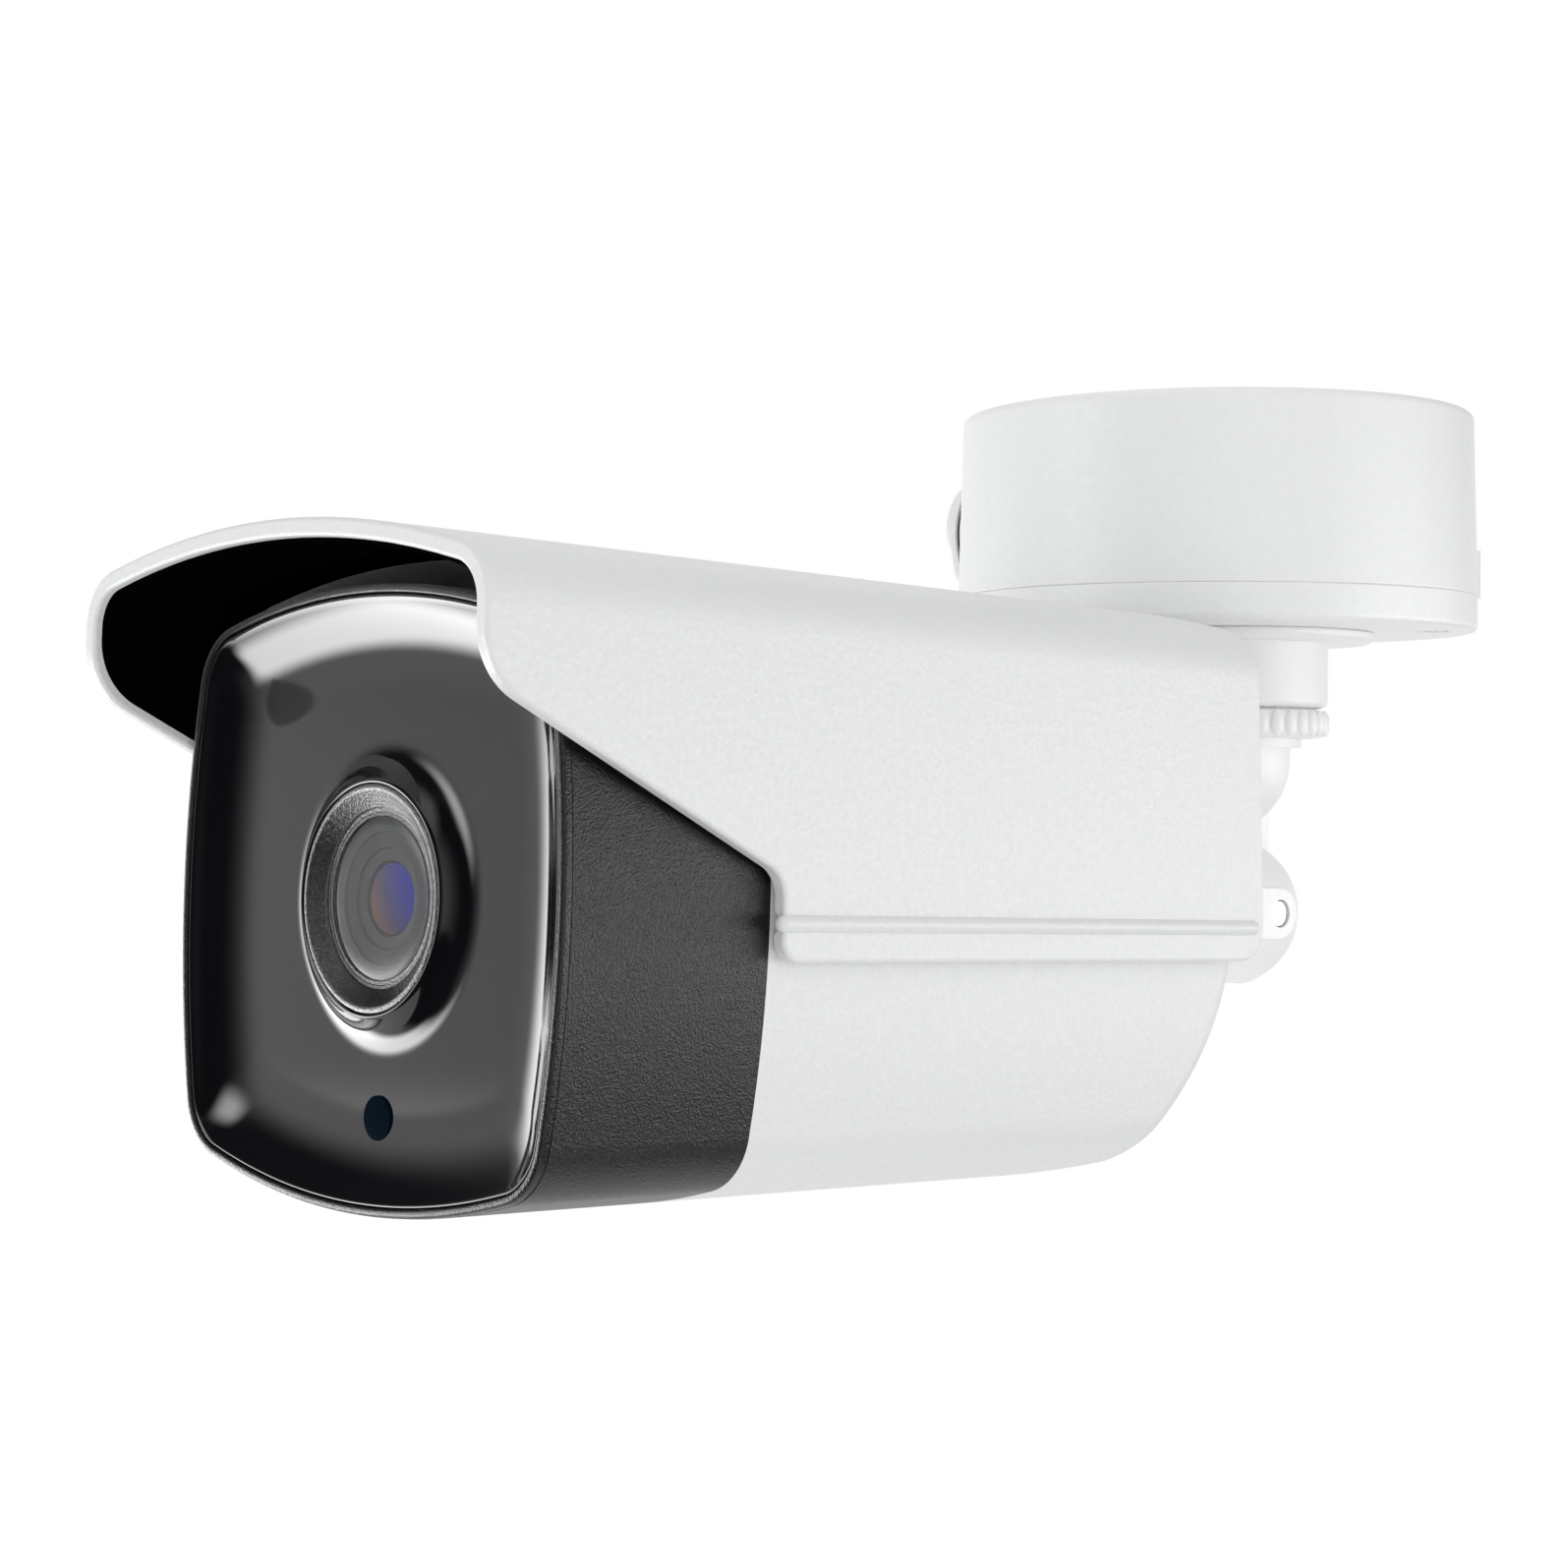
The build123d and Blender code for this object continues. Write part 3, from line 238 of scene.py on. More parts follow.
# Small builders
def add_node(tree, kind, inputs=None, **values):
    """Add a node with its settings, and set or link its inputs."""
    node = tree.nodes.new(kind)
    for name, value in values.items():
        setattr(node, name, value)
    for key, value in (inputs or {}).items():
        socket = node.inputs[key]
        if isinstance(value, bpy.types.NodeSocket):
            tree.links.new(value, socket)
        else:
            socket.default_value = value
    return node


def new_material(name):
    """Material with one Principled shader, and the Object coordinates that its patterns read."""
    material = bpy.data.materials.new(name)
    material.use_nodes = True
    tree = material.node_tree
    shader = tree.nodes["Principled BSDF"]
    place = add_node(tree, "ShaderNodeTexCoord").outputs["Object"]
    return material, tree, shader, place


def set_shader(shader, **values):
    """Set the shader's own sockets, with _ for a space in their names."""
    for name, value in values.items():
        shader.inputs[name.replace("_", " ")].default_value = value


def pebble(tree, shader, place, lump_mm, depth_mm, low, high, detail=2.0):
    """Lumps about lump_mm wide: colour low in the pits, high on the tops, and a relief of depth_mm. Where the
    relief is deep this colour is painted shade in the pits and painted light on the tops; under a faint relief it
    is a tone that differs at random.

    Gives how high the surface stands, from 0 in the pits to 1 on the tops.
    """
    lumps = add_node(tree, "ShaderNodeTexNoise", {
        "Vector": place, "Scale": 1 / (lump_mm * MM), "Detail": detail}).outputs["Fac"]
    share = add_node(tree, "ShaderNodeMapRange", {
        "Value": lumps, "From Min": 0.3, "From Max": 0.7}).outputs["Result"]
    # Painted shade and light: the colour follows the lumps' height, darker in the pits and lighter on the tops
    tone_and_pit_shade = add_node(tree, "ShaderNodeMix", {
        0: share, 6: rgba(low), 7: rgba(high)}, data_type="RGBA").outputs[2]
    relief = add_node(tree, "ShaderNodeBump", {
        "Height": lumps, "Distance": depth_mm * MM}).outputs["Normal"]
    tree.links.new(tone_and_pit_shade, shader.inputs["Base Color"])
    tree.links.new(relief, shader.inputs["Normal"])
    return share


def scaled(colour, factor):
    """Colour made lighter or darker by a factor."""
    return [min(1.0, c * factor) for c in colour[:3]]


def level(x, y, z):
    """Point of the level camera in mm, z above the lens axis, tipped with the camera and in metres."""
    return HINGE + ACROSS * (x * MM) - FORWARD * (y * MM - HINGE.y) + UPWARD * (z * MM)


def section(front):
    """Points and normals of the section's core, whose offset by the corner radius is the outline, in mm."""
    corner = front.corner_radius / MM
    side_r = front.side_radius / MM - corner
    crown_r = front.crown_radius / MM - corner
    side_x = (front.half_width - front.side_radius) / MM
    crown_z = (front.half_height - front.crown_radius) / MM
    span = math.hypot(side_x, crown_z)
    along = (side_r ** 2 - crown_r ** 2 + span ** 2) / (2 * span)
    lift = math.sqrt(side_r ** 2 - along ** 2)
    step = (-side_x / span, crown_z / span)
    x = side_x + along * step[0] - lift * step[1]
    z = along * step[1] + lift * step[0]
    low = math.atan2(z, x - side_x)
    high = math.atan2(z - crown_z, x)
    quarter = []
    for i in range(14):
        turn = low * i / 14
        quarter.append((side_x + side_r * math.cos(turn), side_r * math.sin(turn), turn))
    for i in range(16):
        quarter.append((x, z, low + (high - low) * i / 16))
    for i in range(14):
        turn = high + (math.pi / 2 - high) * i / 14
        quarter.append((crown_r * math.cos(turn), crown_z + crown_r * math.sin(turn), turn))
    top = crown_z + crown_r
    points = list(quarter)
    points.append((0.0, top, math.pi / 2))
    points += [(-px, pz, math.pi - turn) for px, pz, turn in reversed(quarter)]
    points += [(-px, -pz, turn - math.pi) for px, pz, turn in quarter[1:]]
    points.append((0.0, -top, -math.pi / 2))
    points += [(px, -pz, -turn) for px, pz, turn in reversed(quarter[1:])]
    return points


def outline(front, inset, y):
    """Ring of points on the camera's section drawn in by inset, at y."""
    reach = front.corner_radius / MM - inset
    return [(px + reach * math.cos(turn), y, pz + reach * math.sin(turn))
            for px, pz, turn in section(front)]


def upright(x, y, z):
    """Point of a lathe that stands on end, with y as its height, from mm to metres."""
    return Vector((x * MM, z * MM, y * MM))


def circle(radius, y, count, z=0.0):
    """Ring of points about the lens axis, or about a line at height z beside it."""
    turns = [2 * math.pi * i / count for i in range(count)]
    return [(radius * math.cos(t), y, z + radius * math.sin(t)) for t in turns]


def skin(rings, place, tip_first=None, tip_last=None, closed=False):
    """Vertices and faces of a skin through rings of equal length, with optional end points."""
    count = len(rings[0])
    verts = [place(*point) for ring in rings for point in ring]
    faces = []
    pairs = list(zip(range(len(rings) - 1), range(1, len(rings))))
    if closed:
        pairs.append((len(rings) - 1, 0))
    for a, b in pairs:
        for i in range(count):
            j = (i + 1) % count
            faces.append((a * count + i, a * count + j, b * count + j, b * count + i))
    for tip, ring in ((tip_first, 0), (tip_last, len(rings) - 1)):
        if tip:
            verts.append(place(*tip))
            base = ring * count
            faces += [(base + i, base + (i + 1) % count, len(verts) - 1) for i in range(count)]
    return verts, faces


def finish_mesh(mesh, sharp):
    """Merge doubles, turn the faces outwards and shade them smooth up to a sharp angle in degrees."""
    work = bmesh.new()
    work.from_mesh(mesh)
    bmesh.ops.remove_doubles(work, verts=work.verts, dist=1e-7)
    bmesh.ops.recalc_face_normals(work, faces=work.faces)
    work.to_mesh(mesh)
    work.free()
    for polygon in mesh.polygons:
        polygon.use_smooth = True
    mesh.set_sharp_from_angle(angle=math.radians(sharp))


def new_piece(name, mesh, material, body, slot, *nodes):
    """Object for a finished mesh, riding on its body and standing for its nodes."""
    mesh.materials.clear()
    mesh.materials.append(material)
    piece = bpy.data.objects.new(name, mesh)
    bpy.context.scene.collection.objects.link(piece)
    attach(piece, body)
    if nodes:
        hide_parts(*nodes)


def skin_mesh(name, rings, place, sharp, **ends):
    """Finished mesh of a skin through rings."""
    mesh = bpy.data.meshes.new(name)
    verts, faces = skin(rings, place, **ends)
    mesh.from_pydata(verts, [], faces)
    finish_mesh(mesh, sharp)
    return mesh


def lathe_mesh(name, profile, place, sharp, count=RING_POINTS, z=0.0, **ends):
    """Finished mesh of a profile of radius and y, turned about the lens axis or a line beside it."""
    return skin_mesh(name, [circle(r, y, count, z) for r, y in profile], place, sharp, **ends)


def new_tree(name, sockets):
    """Geometry node tree with named inputs and one geometry output."""
    tree = bpy.data.node_groups.new(name, "GeometryNodeTree")
    tree.interface.new_socket("Geometry", in_out="INPUT", socket_type="NodeSocketGeometry")
    for socket_name, kind in sockets:
        tree.interface.new_socket(socket_name, in_out="INPUT", socket_type="NodeSocket" + kind)
    tree.interface.new_socket("Geometry", in_out="OUTPUT", socket_type="NodeSocketGeometry")
    return tree, tree.nodes.new("NodeGroupInput").outputs


def end_tree(tree, geometry, material):
    """Real geometry with its material at a tree's output."""
    real = add_node(tree, "GeometryNodeRealizeInstances", {"Geometry": geometry}).outputs["Geometry"]
    painted = add_node(tree, "GeometryNodeSetMaterial", {"Geometry": real, "Material": material})
    add_node(tree, "NodeGroupOutput", {"Geometry": painted.outputs["Geometry"]})


def grow(name, mesh, tree, values):
    """Plain mesh that a node tree makes from a start mesh."""
    start = bpy.data.objects.new(name + "_start", mesh)
    bpy.context.scene.collection.objects.link(start)
    modifier = start.modifiers.new("nodes", "NODES")
    modifier.node_group = tree
    for item in tree.interface.items_tree:
        if item.item_type == "SOCKET" and item.in_out == "INPUT" and item.name in values:
            modifier[item.identifier] = values[item.name]
    bpy.context.view_layer.update()
    grown = bpy.data.meshes.new_from_object(start.evaluated_get(bpy.context.evaluated_depsgraph_get()))
    grown.name = name
    bpy.data.objects.remove(start)
    if not grown.polygons:
        raise RuntimeError(name + " came out empty")
    return grown


# Finishes
def powder_coat(name, colour, lump_mm, depth_mm, rough):
    """Powder coat or satin paint on die-cast aluminium: a fine pebbled skin with a soft sheen."""
    material, tree, shader, place = new_material(name)
    # Painted shade: the pits of the pebbled skin are 3% darker than its tops
    share = pebble(tree, shader, place, lump_mm, depth_mm, scaled(colour, 0.97), colour[:3], 3.0)
    spread = add_node(tree, "ShaderNodeMapRange", {
        "Value": share, "To Min": rough + 0.06, "To Max": rough - 0.06})
    tree.links.new(spread.outputs["Result"], shader.inputs["Roughness"])
    return material


def grained_plastic(name, colour, lump_mm, depth_mm, rough, ior=1.5):
    """Black ABS from an etched mould: a leathery matt grain that glints where light skims it, with painted light
    on its tops and painted shade in its pits.
    """
    material, tree, shader, place = new_material(name)
    # Painted shade and light: the grain's pits are darker and its tops lighter than the colour
    share = pebble(tree, shader, place, lump_mm * 0.6, depth_mm, scaled(colour, 0.75), scaled(colour, 1.3))
    pits = add_node(tree, "ShaderNodeTexVoronoi", {
        "Vector": place, "Scale": 1 / (lump_mm * MM), "Randomness": 1.0},
        feature="SMOOTH_F1").outputs["Distance"]
    height = add_node(tree, "ShaderNodeMath", {0: pits, 1: share}, operation="ADD").outputs["Value"]
    relief = add_node(tree, "ShaderNodeBump", {
        "Height": height, "Distance": depth_mm * MM}).outputs["Normal"]
    tree.links.new(relief, shader.inputs["Normal"])
    set_shader(shader, Roughness=rough, IOR=ior)
    return material


def moulded_plastic(name, colour, rough, ior):
    """Plastic from a smooth mould, glossy to matt: it dips a little between the mould's cooling lines."""
    material, tree, shader, place = new_material(name)
    pebble(tree, shader, place, lump_mm=40.0, depth_mm=0.01,
           low=scaled(colour, 0.9), high=scaled(colour, 1.1), detail=0.0)
    set_shader(shader, Roughness=rough, IOR=ior)
    return material


def bare_metal(name, code, rough):
    """Plated or rolled metal: a grey sheen with faint marks of the tool."""
    material, tree, shader, place = new_material(name)
    # Real marks are about 0.1 mm wide, too fine to show, so they are drawn 0.5 mm wide
    pebble(tree, shader, place, lump_mm=0.5, depth_mm=0.01,
           low=scaled(srgb(code), 0.9), high=srgb(code), detail=3.0)
    set_shader(shader, Metallic=1.0, Roughness=rough)
    return material


def moulded_rubber(name, code):
    """Moulded rubber: matt, almost black, with a dusty bloom."""
    material, tree, shader, place = new_material(name)
    pebble(tree, shader, place, lump_mm=1.5, depth_mm=0.02,
           low=srgb(code), high=scaled(srgb(code), 1.6), detail=3.0)
    set_shader(shader, Roughness=0.75)
    return material


def circuit_board(name, code):
    """Solder mask over copper: glossy green lacquer with lighter tracks under it."""
    material, tree, shader, place = new_material(name)
    tracks = add_node(tree, "ShaderNodeTexBrick", {
        "Vector": place, "Scale": 1 / (9.0 * MM), "Mortar Size": 0.06, "Color1": rgba(srgb(code)),
        "Color2": rgba(scaled(srgb(code), 0.8)), "Mortar": rgba(scaled(srgb(code), 1.9))}, offset=0.35)
    tree.links.new(tracks.outputs["Color"], shader.inputs["Base Color"])
    set_shader(shader, Roughness=0.3)
    return material


def clear_glass(name, tint, ior):
    """Coated optical glass: clear, with a faint tint and a polished face."""
    material, tree, shader, place = new_material(name)
    pebble(tree, shader, place, lump_mm=8.0, depth_mm=0.001,
           low=scaled(srgb(tint), 0.97), high=srgb(tint), detail=0.0)
    set_shader(shader, Roughness=0.0, IOR=ior, Transmission_Weight=1.0)
    return material


def coating_and_painted_reflection(name, blue):
    """Multi-layer coating on a lens element: its blue-violet tint, with a painted reflection that turns it copper
    towards its lower left.
    """
    material, tree, shader, place = new_material(name)
    centre = level(0, GLASS_Y, 0)
    # Painted reflection: the colour runs from copper at the lower left through violet to blue, fixed on the
    # element
    parts = add_node(tree, "ShaderNodeSeparateXYZ", {"Vector": place}).outputs
    rise = add_node(tree, "ShaderNodeMath", {
        0: parts["Z"], 1: centre.z}, operation="SUBTRACT").outputs["Value"]
    painted_reflection_lean = add_node(tree, "ShaderNodeMath", {
        0: rise, 1: 0.5, 2: parts["X"]}, operation="MULTIPLY_ADD").outputs["Value"]
    spread = add_node(tree, "ShaderNodeMapRange", {
        "Value": painted_reflection_lean, "From Min": -5.0 * MM, "From Max": 5.0 * MM})
    tint_and_reflection_ramp = add_node(tree, "ShaderNodeValToRGB", {"Fac": spread.outputs["Result"]})
    tint_and_reflection_ramp.color_ramp.elements[0].color = rgba(srgb("#6B4A38"))
    tint_and_reflection_ramp.color_ramp.elements[1].color = rgba(blue)
    middle = tint_and_reflection_ramp.color_ramp.elements.new(0.45)
    middle.color = rgba(srgb("#3A2C5C"))
    tree.links.new(tint_and_reflection_ramp.outputs["Color"], shader.inputs["Base Color"])
    set_shader(shader, Roughness=0.1, IOR=1.15)
    return material


FINISHES = {}


def make_finishes():
    """Fill FINISHES by material slot, or by node where a node has a finish of its own."""
    tint = bpy.context.scene.bullet_camera_colours
    FINISHES.update({
        "shell_white": powder_coat("powder_coat_shell", tint.shell, 1.0, 0.14, 0.5),
        "box_white": powder_coat("satin_paint_box", tint.box, 1.4, 0.015, 0.42),
        "bracket_white": powder_coat("satin_coat_bracket", tint.bracket, 0.8, 0.02, 0.46),
        "bracket_base": powder_coat("powder_coat_bracket", tint.bracket, 1.0, 0.12, 0.5),
        "seal_rubber": moulded_rubber("moulded_rubber", "#161616"),
        "screw_steel": bare_metal("zinc_plated_steel", "#E2E2E0", 0.34),
        "front_black": grained_plastic("grained_abs_black", tint.front, 0.55, 0.06, 0.38),
        "bezel_black": grained_plastic("grained_abs_frame", tint.front, 0.5, 0.04, 0.3),
        "window_smoke": moulded_plastic("smoked_polycarbonate", tint.window, 0.07, 1.58),
        "lens_black": grained_plastic("grained_abs_lens_ring", srgb("#0B0B0C"), 0.45, 0.05, 0.26, 2.0),
        "lens_glass": clear_glass("coated_glass", "#F2F4F6", 1.28),
        "carrier_metal": bare_metal("rolled_aluminium", "#C9CACB", 0.42),
        "board_green": circuit_board("solder_mask", "#1D5B38"),
        "led_clear": moulded_plastic("clear_epoxy", srgb("#6A5A66"), 0.1, 1.55),
        "sensor_navy": moulded_plastic("tinted_acrylic_guide", srgb("#07141F"), 0.3, 1.02),
        "filter_glass": clear_glass("cyan_filter_glass", "#9ED4D6", 1.5),
        "chip_black": moulded_plastic("chip_package", srgb("#20242A"), 0.35, 1.5),
        "visor_black": moulded_plastic("matt_abs_visor", srgb("#050505"), 0.8, 1.0),
    })


class BULLETCAM_OT_finish_nodes(bpy.types.Operator):
    """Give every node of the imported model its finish"""
    bl_idname = "bulletcam.finish_nodes"
    bl_label = "Finish the solid parts"

    def execute(self, context):
        make_finishes()
        for part in frame["record"]["subparts"]:
            node = frame["nodes"][part["node"]]
            node.data.materials.clear()
            node.data.materials.append(FINISHES.get(part["node"], FINISHES[part["material_slot"]]))
        # In the window's gloss the lining would be a hard black patch,
        # so the lit shield shows there instead
        lining = frame["nodes"]["visor_lining"]
        lining.visible_glossy = False
        lining.visible_diffuse = False
        lining.visible_shadow = False
        return {"FINISHED"}


class BULLETCAM_OT_front_window(bpy.types.Operator):
    """Smoked window: dished edge, flat pane and a swell round the lens"""
    bl_idname = "bulletcam.front_window"
    bl_label = "Front window"

    def execute(self, context):
        front = context.scene.bullet_camera_front
        edge = front.frame_width / MM + FRAME_PLAY
        dish = front.dish_depth / MM
        rim = edge + RIM_WIDTH
        rings = [outline(front, edge, PANE_BACK), outline(front, edge, RIM_Y + 0.4),
                 outline(front, edge + 0.1, RIM_Y + 0.14), outline(front, edge + 0.32, RIM_Y),
                 outline(front, edge + 0.55, RIM_Y + 0.06)]
        steps = 26
        for i in range(steps + 1):
            t = i / steps
            sunk = RIM_DROP + (dish - RIM_DROP) * (1 - (1 - t) ** DISH_POWER)
            near = 1 - t * front.dish_width / front.half_width
            rings.append([(x * near, RIM_Y + sunk, z * near) for x, _, z in outline(front, rim, RIM_Y)])
        inner = rings[-1]
        foot = front.turret_radius / MM
        for share in (0.25, 0.5, 0.75):
            ring = []
            for x, _, z in inner:
                reach = math.hypot(x, z)
                near = (1 - share) + share * foot / reach
                ring.append((x * near, PANE_Y, z * near))
            rings.append(ring)
        top = front.lens_ring_radius / MM + RING_PLAY
        proud = PANE_Y - LENS_RING_Y
        shares = [i / 16 for i in range(17)]
        flank = [(foot + (top - foot) * t, PANE_Y - proud * t ** SWELL_POWER) for t in shares]
        flank += [(top - 0.15, LENS_RING_Y - 0.02), (top - 0.4, LENS_RING_Y + 0.1), (top - 0.4, PANE_BACK)]
        for radius, y in flank:
            ring = []
            for x, _, z in inner:
                reach = math.hypot(x, z)
                ring.append((x * radius / reach, y, z * radius / reach))
            rings.append(ring)
        mesh = skin_mesh("window_pane", rings, level, 50.0, closed=True)
        new_piece("window_pane", mesh, FINISHES["window_smoke"], "camera", "window_smoke", "front_window")
        return {"FINISHED"}


class BULLETCAM_OT_window_frame(bpy.types.Operator):
    """Slim frame round the window with a rounded grained edge"""
    bl_idname = "bulletcam.window_frame"
    bl_label = "Window frame"

    def execute(self, context):
        front = context.scene.bullet_camera_front
        width = front.frame_width / MM
        profile = [(0.1, FACE_Y), (0.1, FRAME_Y + 0.65), (0.18, FRAME_Y + 0.32), (0.36, FRAME_Y + 0.1),
                   (0.62, FRAME_Y), (width - 0.25, FRAME_Y), (width - 0.02, FRAME_Y + 0.08),
                   (width + 0.08, FRAME_Y + 0.3), (width + 0.08, FACE_Y)]
        rings = [outline(front, inset, y) for inset, y in profile]
        mesh = skin_mesh("window_frame", rings, level, 50.0, closed=True)
        new_piece("window_frame", mesh, FINISHES["bezel_black"], "camera", "bezel_black", "bezel_ring")
        return {"FINISHED"}


def ring_tree():
    """Beads of shrinking radius down a cone."""
    tree, given = new_tree("lens_baffle_rings", [
        ("Rings", "Int"), ("Outer Radius", "Float"), ("Inner Radius", "Float"),
        ("Front", "Float"), ("Back", "Float"), ("Bead", "Float"), ("Material", "Material")])
    hoop = add_node(tree, "GeometryNodeCurvePrimitiveCircle", {"Resolution": 96, "Radius": 1.0})
    bead = add_node(tree, "GeometryNodeCurvePrimitiveCircle", {
        "Resolution": 8, "Radius": given["Bead"]})
    ring = add_node(tree, "GeometryNodeCurveToMesh", {
        "Curve": hoop.outputs["Curve"], "Profile Curve": bead.outputs["Curve"]}).outputs["Mesh"]
    line = add_node(tree, "GeometryNodeMeshLine", {"Count": given["Rings"], "Offset": (0.0, 0.0, 0.0)})
    index = add_node(tree, "GeometryNodeInputIndex").outputs["Index"]
    last = add_node(tree, "ShaderNodeMath", {
        0: given["Rings"], 1: 1.0}, operation="SUBTRACT").outputs["Value"]
    share = add_node(tree, "ShaderNodeMath", {0: index, 1: last}, operation="DIVIDE").outputs["Value"]
    radius = add_node(tree, "ShaderNodeMapRange", {
        "Value": share, "To Min": given["Outer Radius"], "To Max": given["Inner Radius"]}).outputs["Result"]
    depth = add_node(tree, "ShaderNodeMapRange", {
        "Value": share, "To Min": given["Front"], "To Max": given["Back"]}).outputs["Result"]
    place = add_node(tree, "ShaderNodeCombineXYZ", {"Z": depth}).outputs["Vector"]
    spots = add_node(tree, "GeometryNodeSetPosition", {
        "Geometry": line.outputs["Mesh"], "Offset": place})
    size = add_node(tree, "ShaderNodeCombineXYZ", {
        "X": radius, "Y": radius, "Z": radius}).outputs["Vector"]
    copies = add_node(tree, "GeometryNodeInstanceOnPoints", {
        "Points": spots.outputs["Geometry"], "Instance": ring, "Scale": size}).outputs["Instances"]
    both = add_node(tree, "GeometryNodeJoinGeometry")
    tree.links.new(copies, both.inputs["Geometry"])
    tree.links.new(given["Geometry"], both.inputs["Geometry"])
    end_tree(tree, both.outputs["Geometry"], given["Material"])
    return tree


class BULLETCAM_OT_lens(bpy.types.Operator):
    """Lens ring, stepped cell with its baffle rings, coated element and front glass"""
    bl_idname = "bulletcam.lens"
    bl_label = "Lens"

    def execute(self, context):
        front = context.scene.bullet_camera_front
        outer = front.lens_ring_radius / MM
        rim = front.glass_radius / MM
        bore = rim + GLASS_PLAY
        ring = [(bore, SHROUD_BACK), (outer, SHROUD_BACK), (outer, LENS_RING_Y + 0.42),
                (outer - 0.12, LENS_RING_Y + 0.16), (outer - 0.4, LENS_RING_Y + 0.02),
                (outer - 0.75, LENS_RING_Y), (outer - 1.05, LENS_RING_Y + 0.1),
                (outer - 1.25, LENS_RING_Y + 0.34), (bore + 0.75, LENS_RING_Y + 1.62),
                (bore + 0.55, LENS_RING_Y + 1.85), (bore + 0.5, LENS_RING_Y + 2.1),
                (bore, LENS_RING_Y + 2.15)]
        mesh = lathe_mesh("lens_ring", ring, level, 35.0, closed=True)
        new_piece("lens_ring", mesh, FINISHES["lens_black"], "camera", "lens_black", "lens_shroud")
        cell = [(rim, GLASS_Y + 3.4), (rim, GLASS_Y + 1.1), (rim - 2.3, GLASS_Y + 1.15),
                (rim - 2.45, GLASS_Y + 1.5), (rim - 4.7, GLASS_Y + 1.75), (rim - 4.85, GLASS_Y + 2.1),
                (COATED_RADIUS + 0.35, GLASS_Y + 2.35), (COATED_RADIUS + 0.1, GLASS_Y + 2.9),
                (COATED_RADIUS + 0.1, GLASS_Y + 3.4)]
        start = lathe_mesh("lens_cell_start", [(r, -(y - GLASS_Y)) for r, y in cell], upright, 30.0,
                           closed=True)
        # Black anodising over a blasted face looks like a very fine grain
        grey = grained_plastic("anodised_lens_cell", srgb("#2A2A2A"), 0.5, 0.01, 0.5)
        grown = grow("lens_cell", start, ring_tree(), {
            "Rings": BAFFLE_RINGS, "Outer Radius": (rim - 2.6) * MM, "Inner Radius": (rim - 4.6) * MM,
            "Front": -1.52 * MM, "Back": -1.74 * MM, "Bead": BAFFLE_BEAD, "Material": grey})
        turn = Matrix((ACROSS, UPWARD, FORWARD)).transposed().to_4x4()
        grown.transform(Matrix.Translation(level(0, GLASS_Y, 0)) @ turn)
        finish_mesh(grown, 30.0)
        new_piece("lens_cell", grown, grey, "camera", "lens_black")
        back = GLASS_Y + 3.2
        top = GLASS_Y + 2.75
        coat = [(COATED_RADIUS, back), (COATED_RADIUS, top)]
        turns = [i * math.pi / 20 for i in range(1, 10)]
        coat += [(COATED_RADIUS * math.cos(turn), top - COATED_DOME * math.sin(turn)) for turn in turns]
        mesh = lathe_mesh("coated_element", coat, level, 40.0, 96,
                          tip_first=(0, back, 0), tip_last=(0, top - COATED_DOME, 0))
        blue = context.scene.bullet_camera_colours.coating
        new_piece("coated_element", mesh, coating_and_painted_reflection("coating_and_painted_reflection", blue), "camera", "lens_glass")
        back = GLASS_Y + 0.9
        top = GLASS_Y + 0.1
        glass = [(rim, back), (rim, top)]
        turns = [i * math.pi / 24 for i in range(1, 12)]
        glass += [(rim * math.cos(turn), top - GLASS_DOME * math.sin(turn)) for turn in turns]
        mesh = lathe_mesh("front_glass", glass, level, 40.0,
                          tip_first=(0, back, 0), tip_last=(0, top - GLASS_DOME, 0))
        new_piece("front_glass", mesh, FINISHES["lens_glass"], "camera", "lens_glass", "lens_front_glass")
        return {"FINISHED"}


class BULLETCAM_OT_light_sensor(bpy.types.Operator):
    """Dark round eye of the light sensor, with a low dome"""
    bl_idname = "bulletcam.light_sensor"
    bl_label = "Light sensor"

    def execute(self, context):
        front = context.scene.bullet_camera_front
        radius = front.sensor_radius / MM
        drop = -front.sensor_drop / MM
        top = PANE_Y - SENSOR_PROUD
        profile = [(radius, SHROUD_BACK), (radius, top)]
        turns = [i * math.pi / 16 for i in range(1, 8)]
        profile += [(radius * math.cos(turn), top - SENSOR_DOME * math.sin(turn)) for turn in turns]
        mesh = lathe_mesh("light_sensor", profile, level, 40.0, 64, drop,
                          tip_first=(0, SHROUD_BACK, drop), tip_last=(0, top - SENSOR_DOME, drop))
        new_piece("light_sensor", mesh, FINISHES["sensor_navy"], "camera", "sensor_navy", "light_pipe")
        return {"FINISHED"}


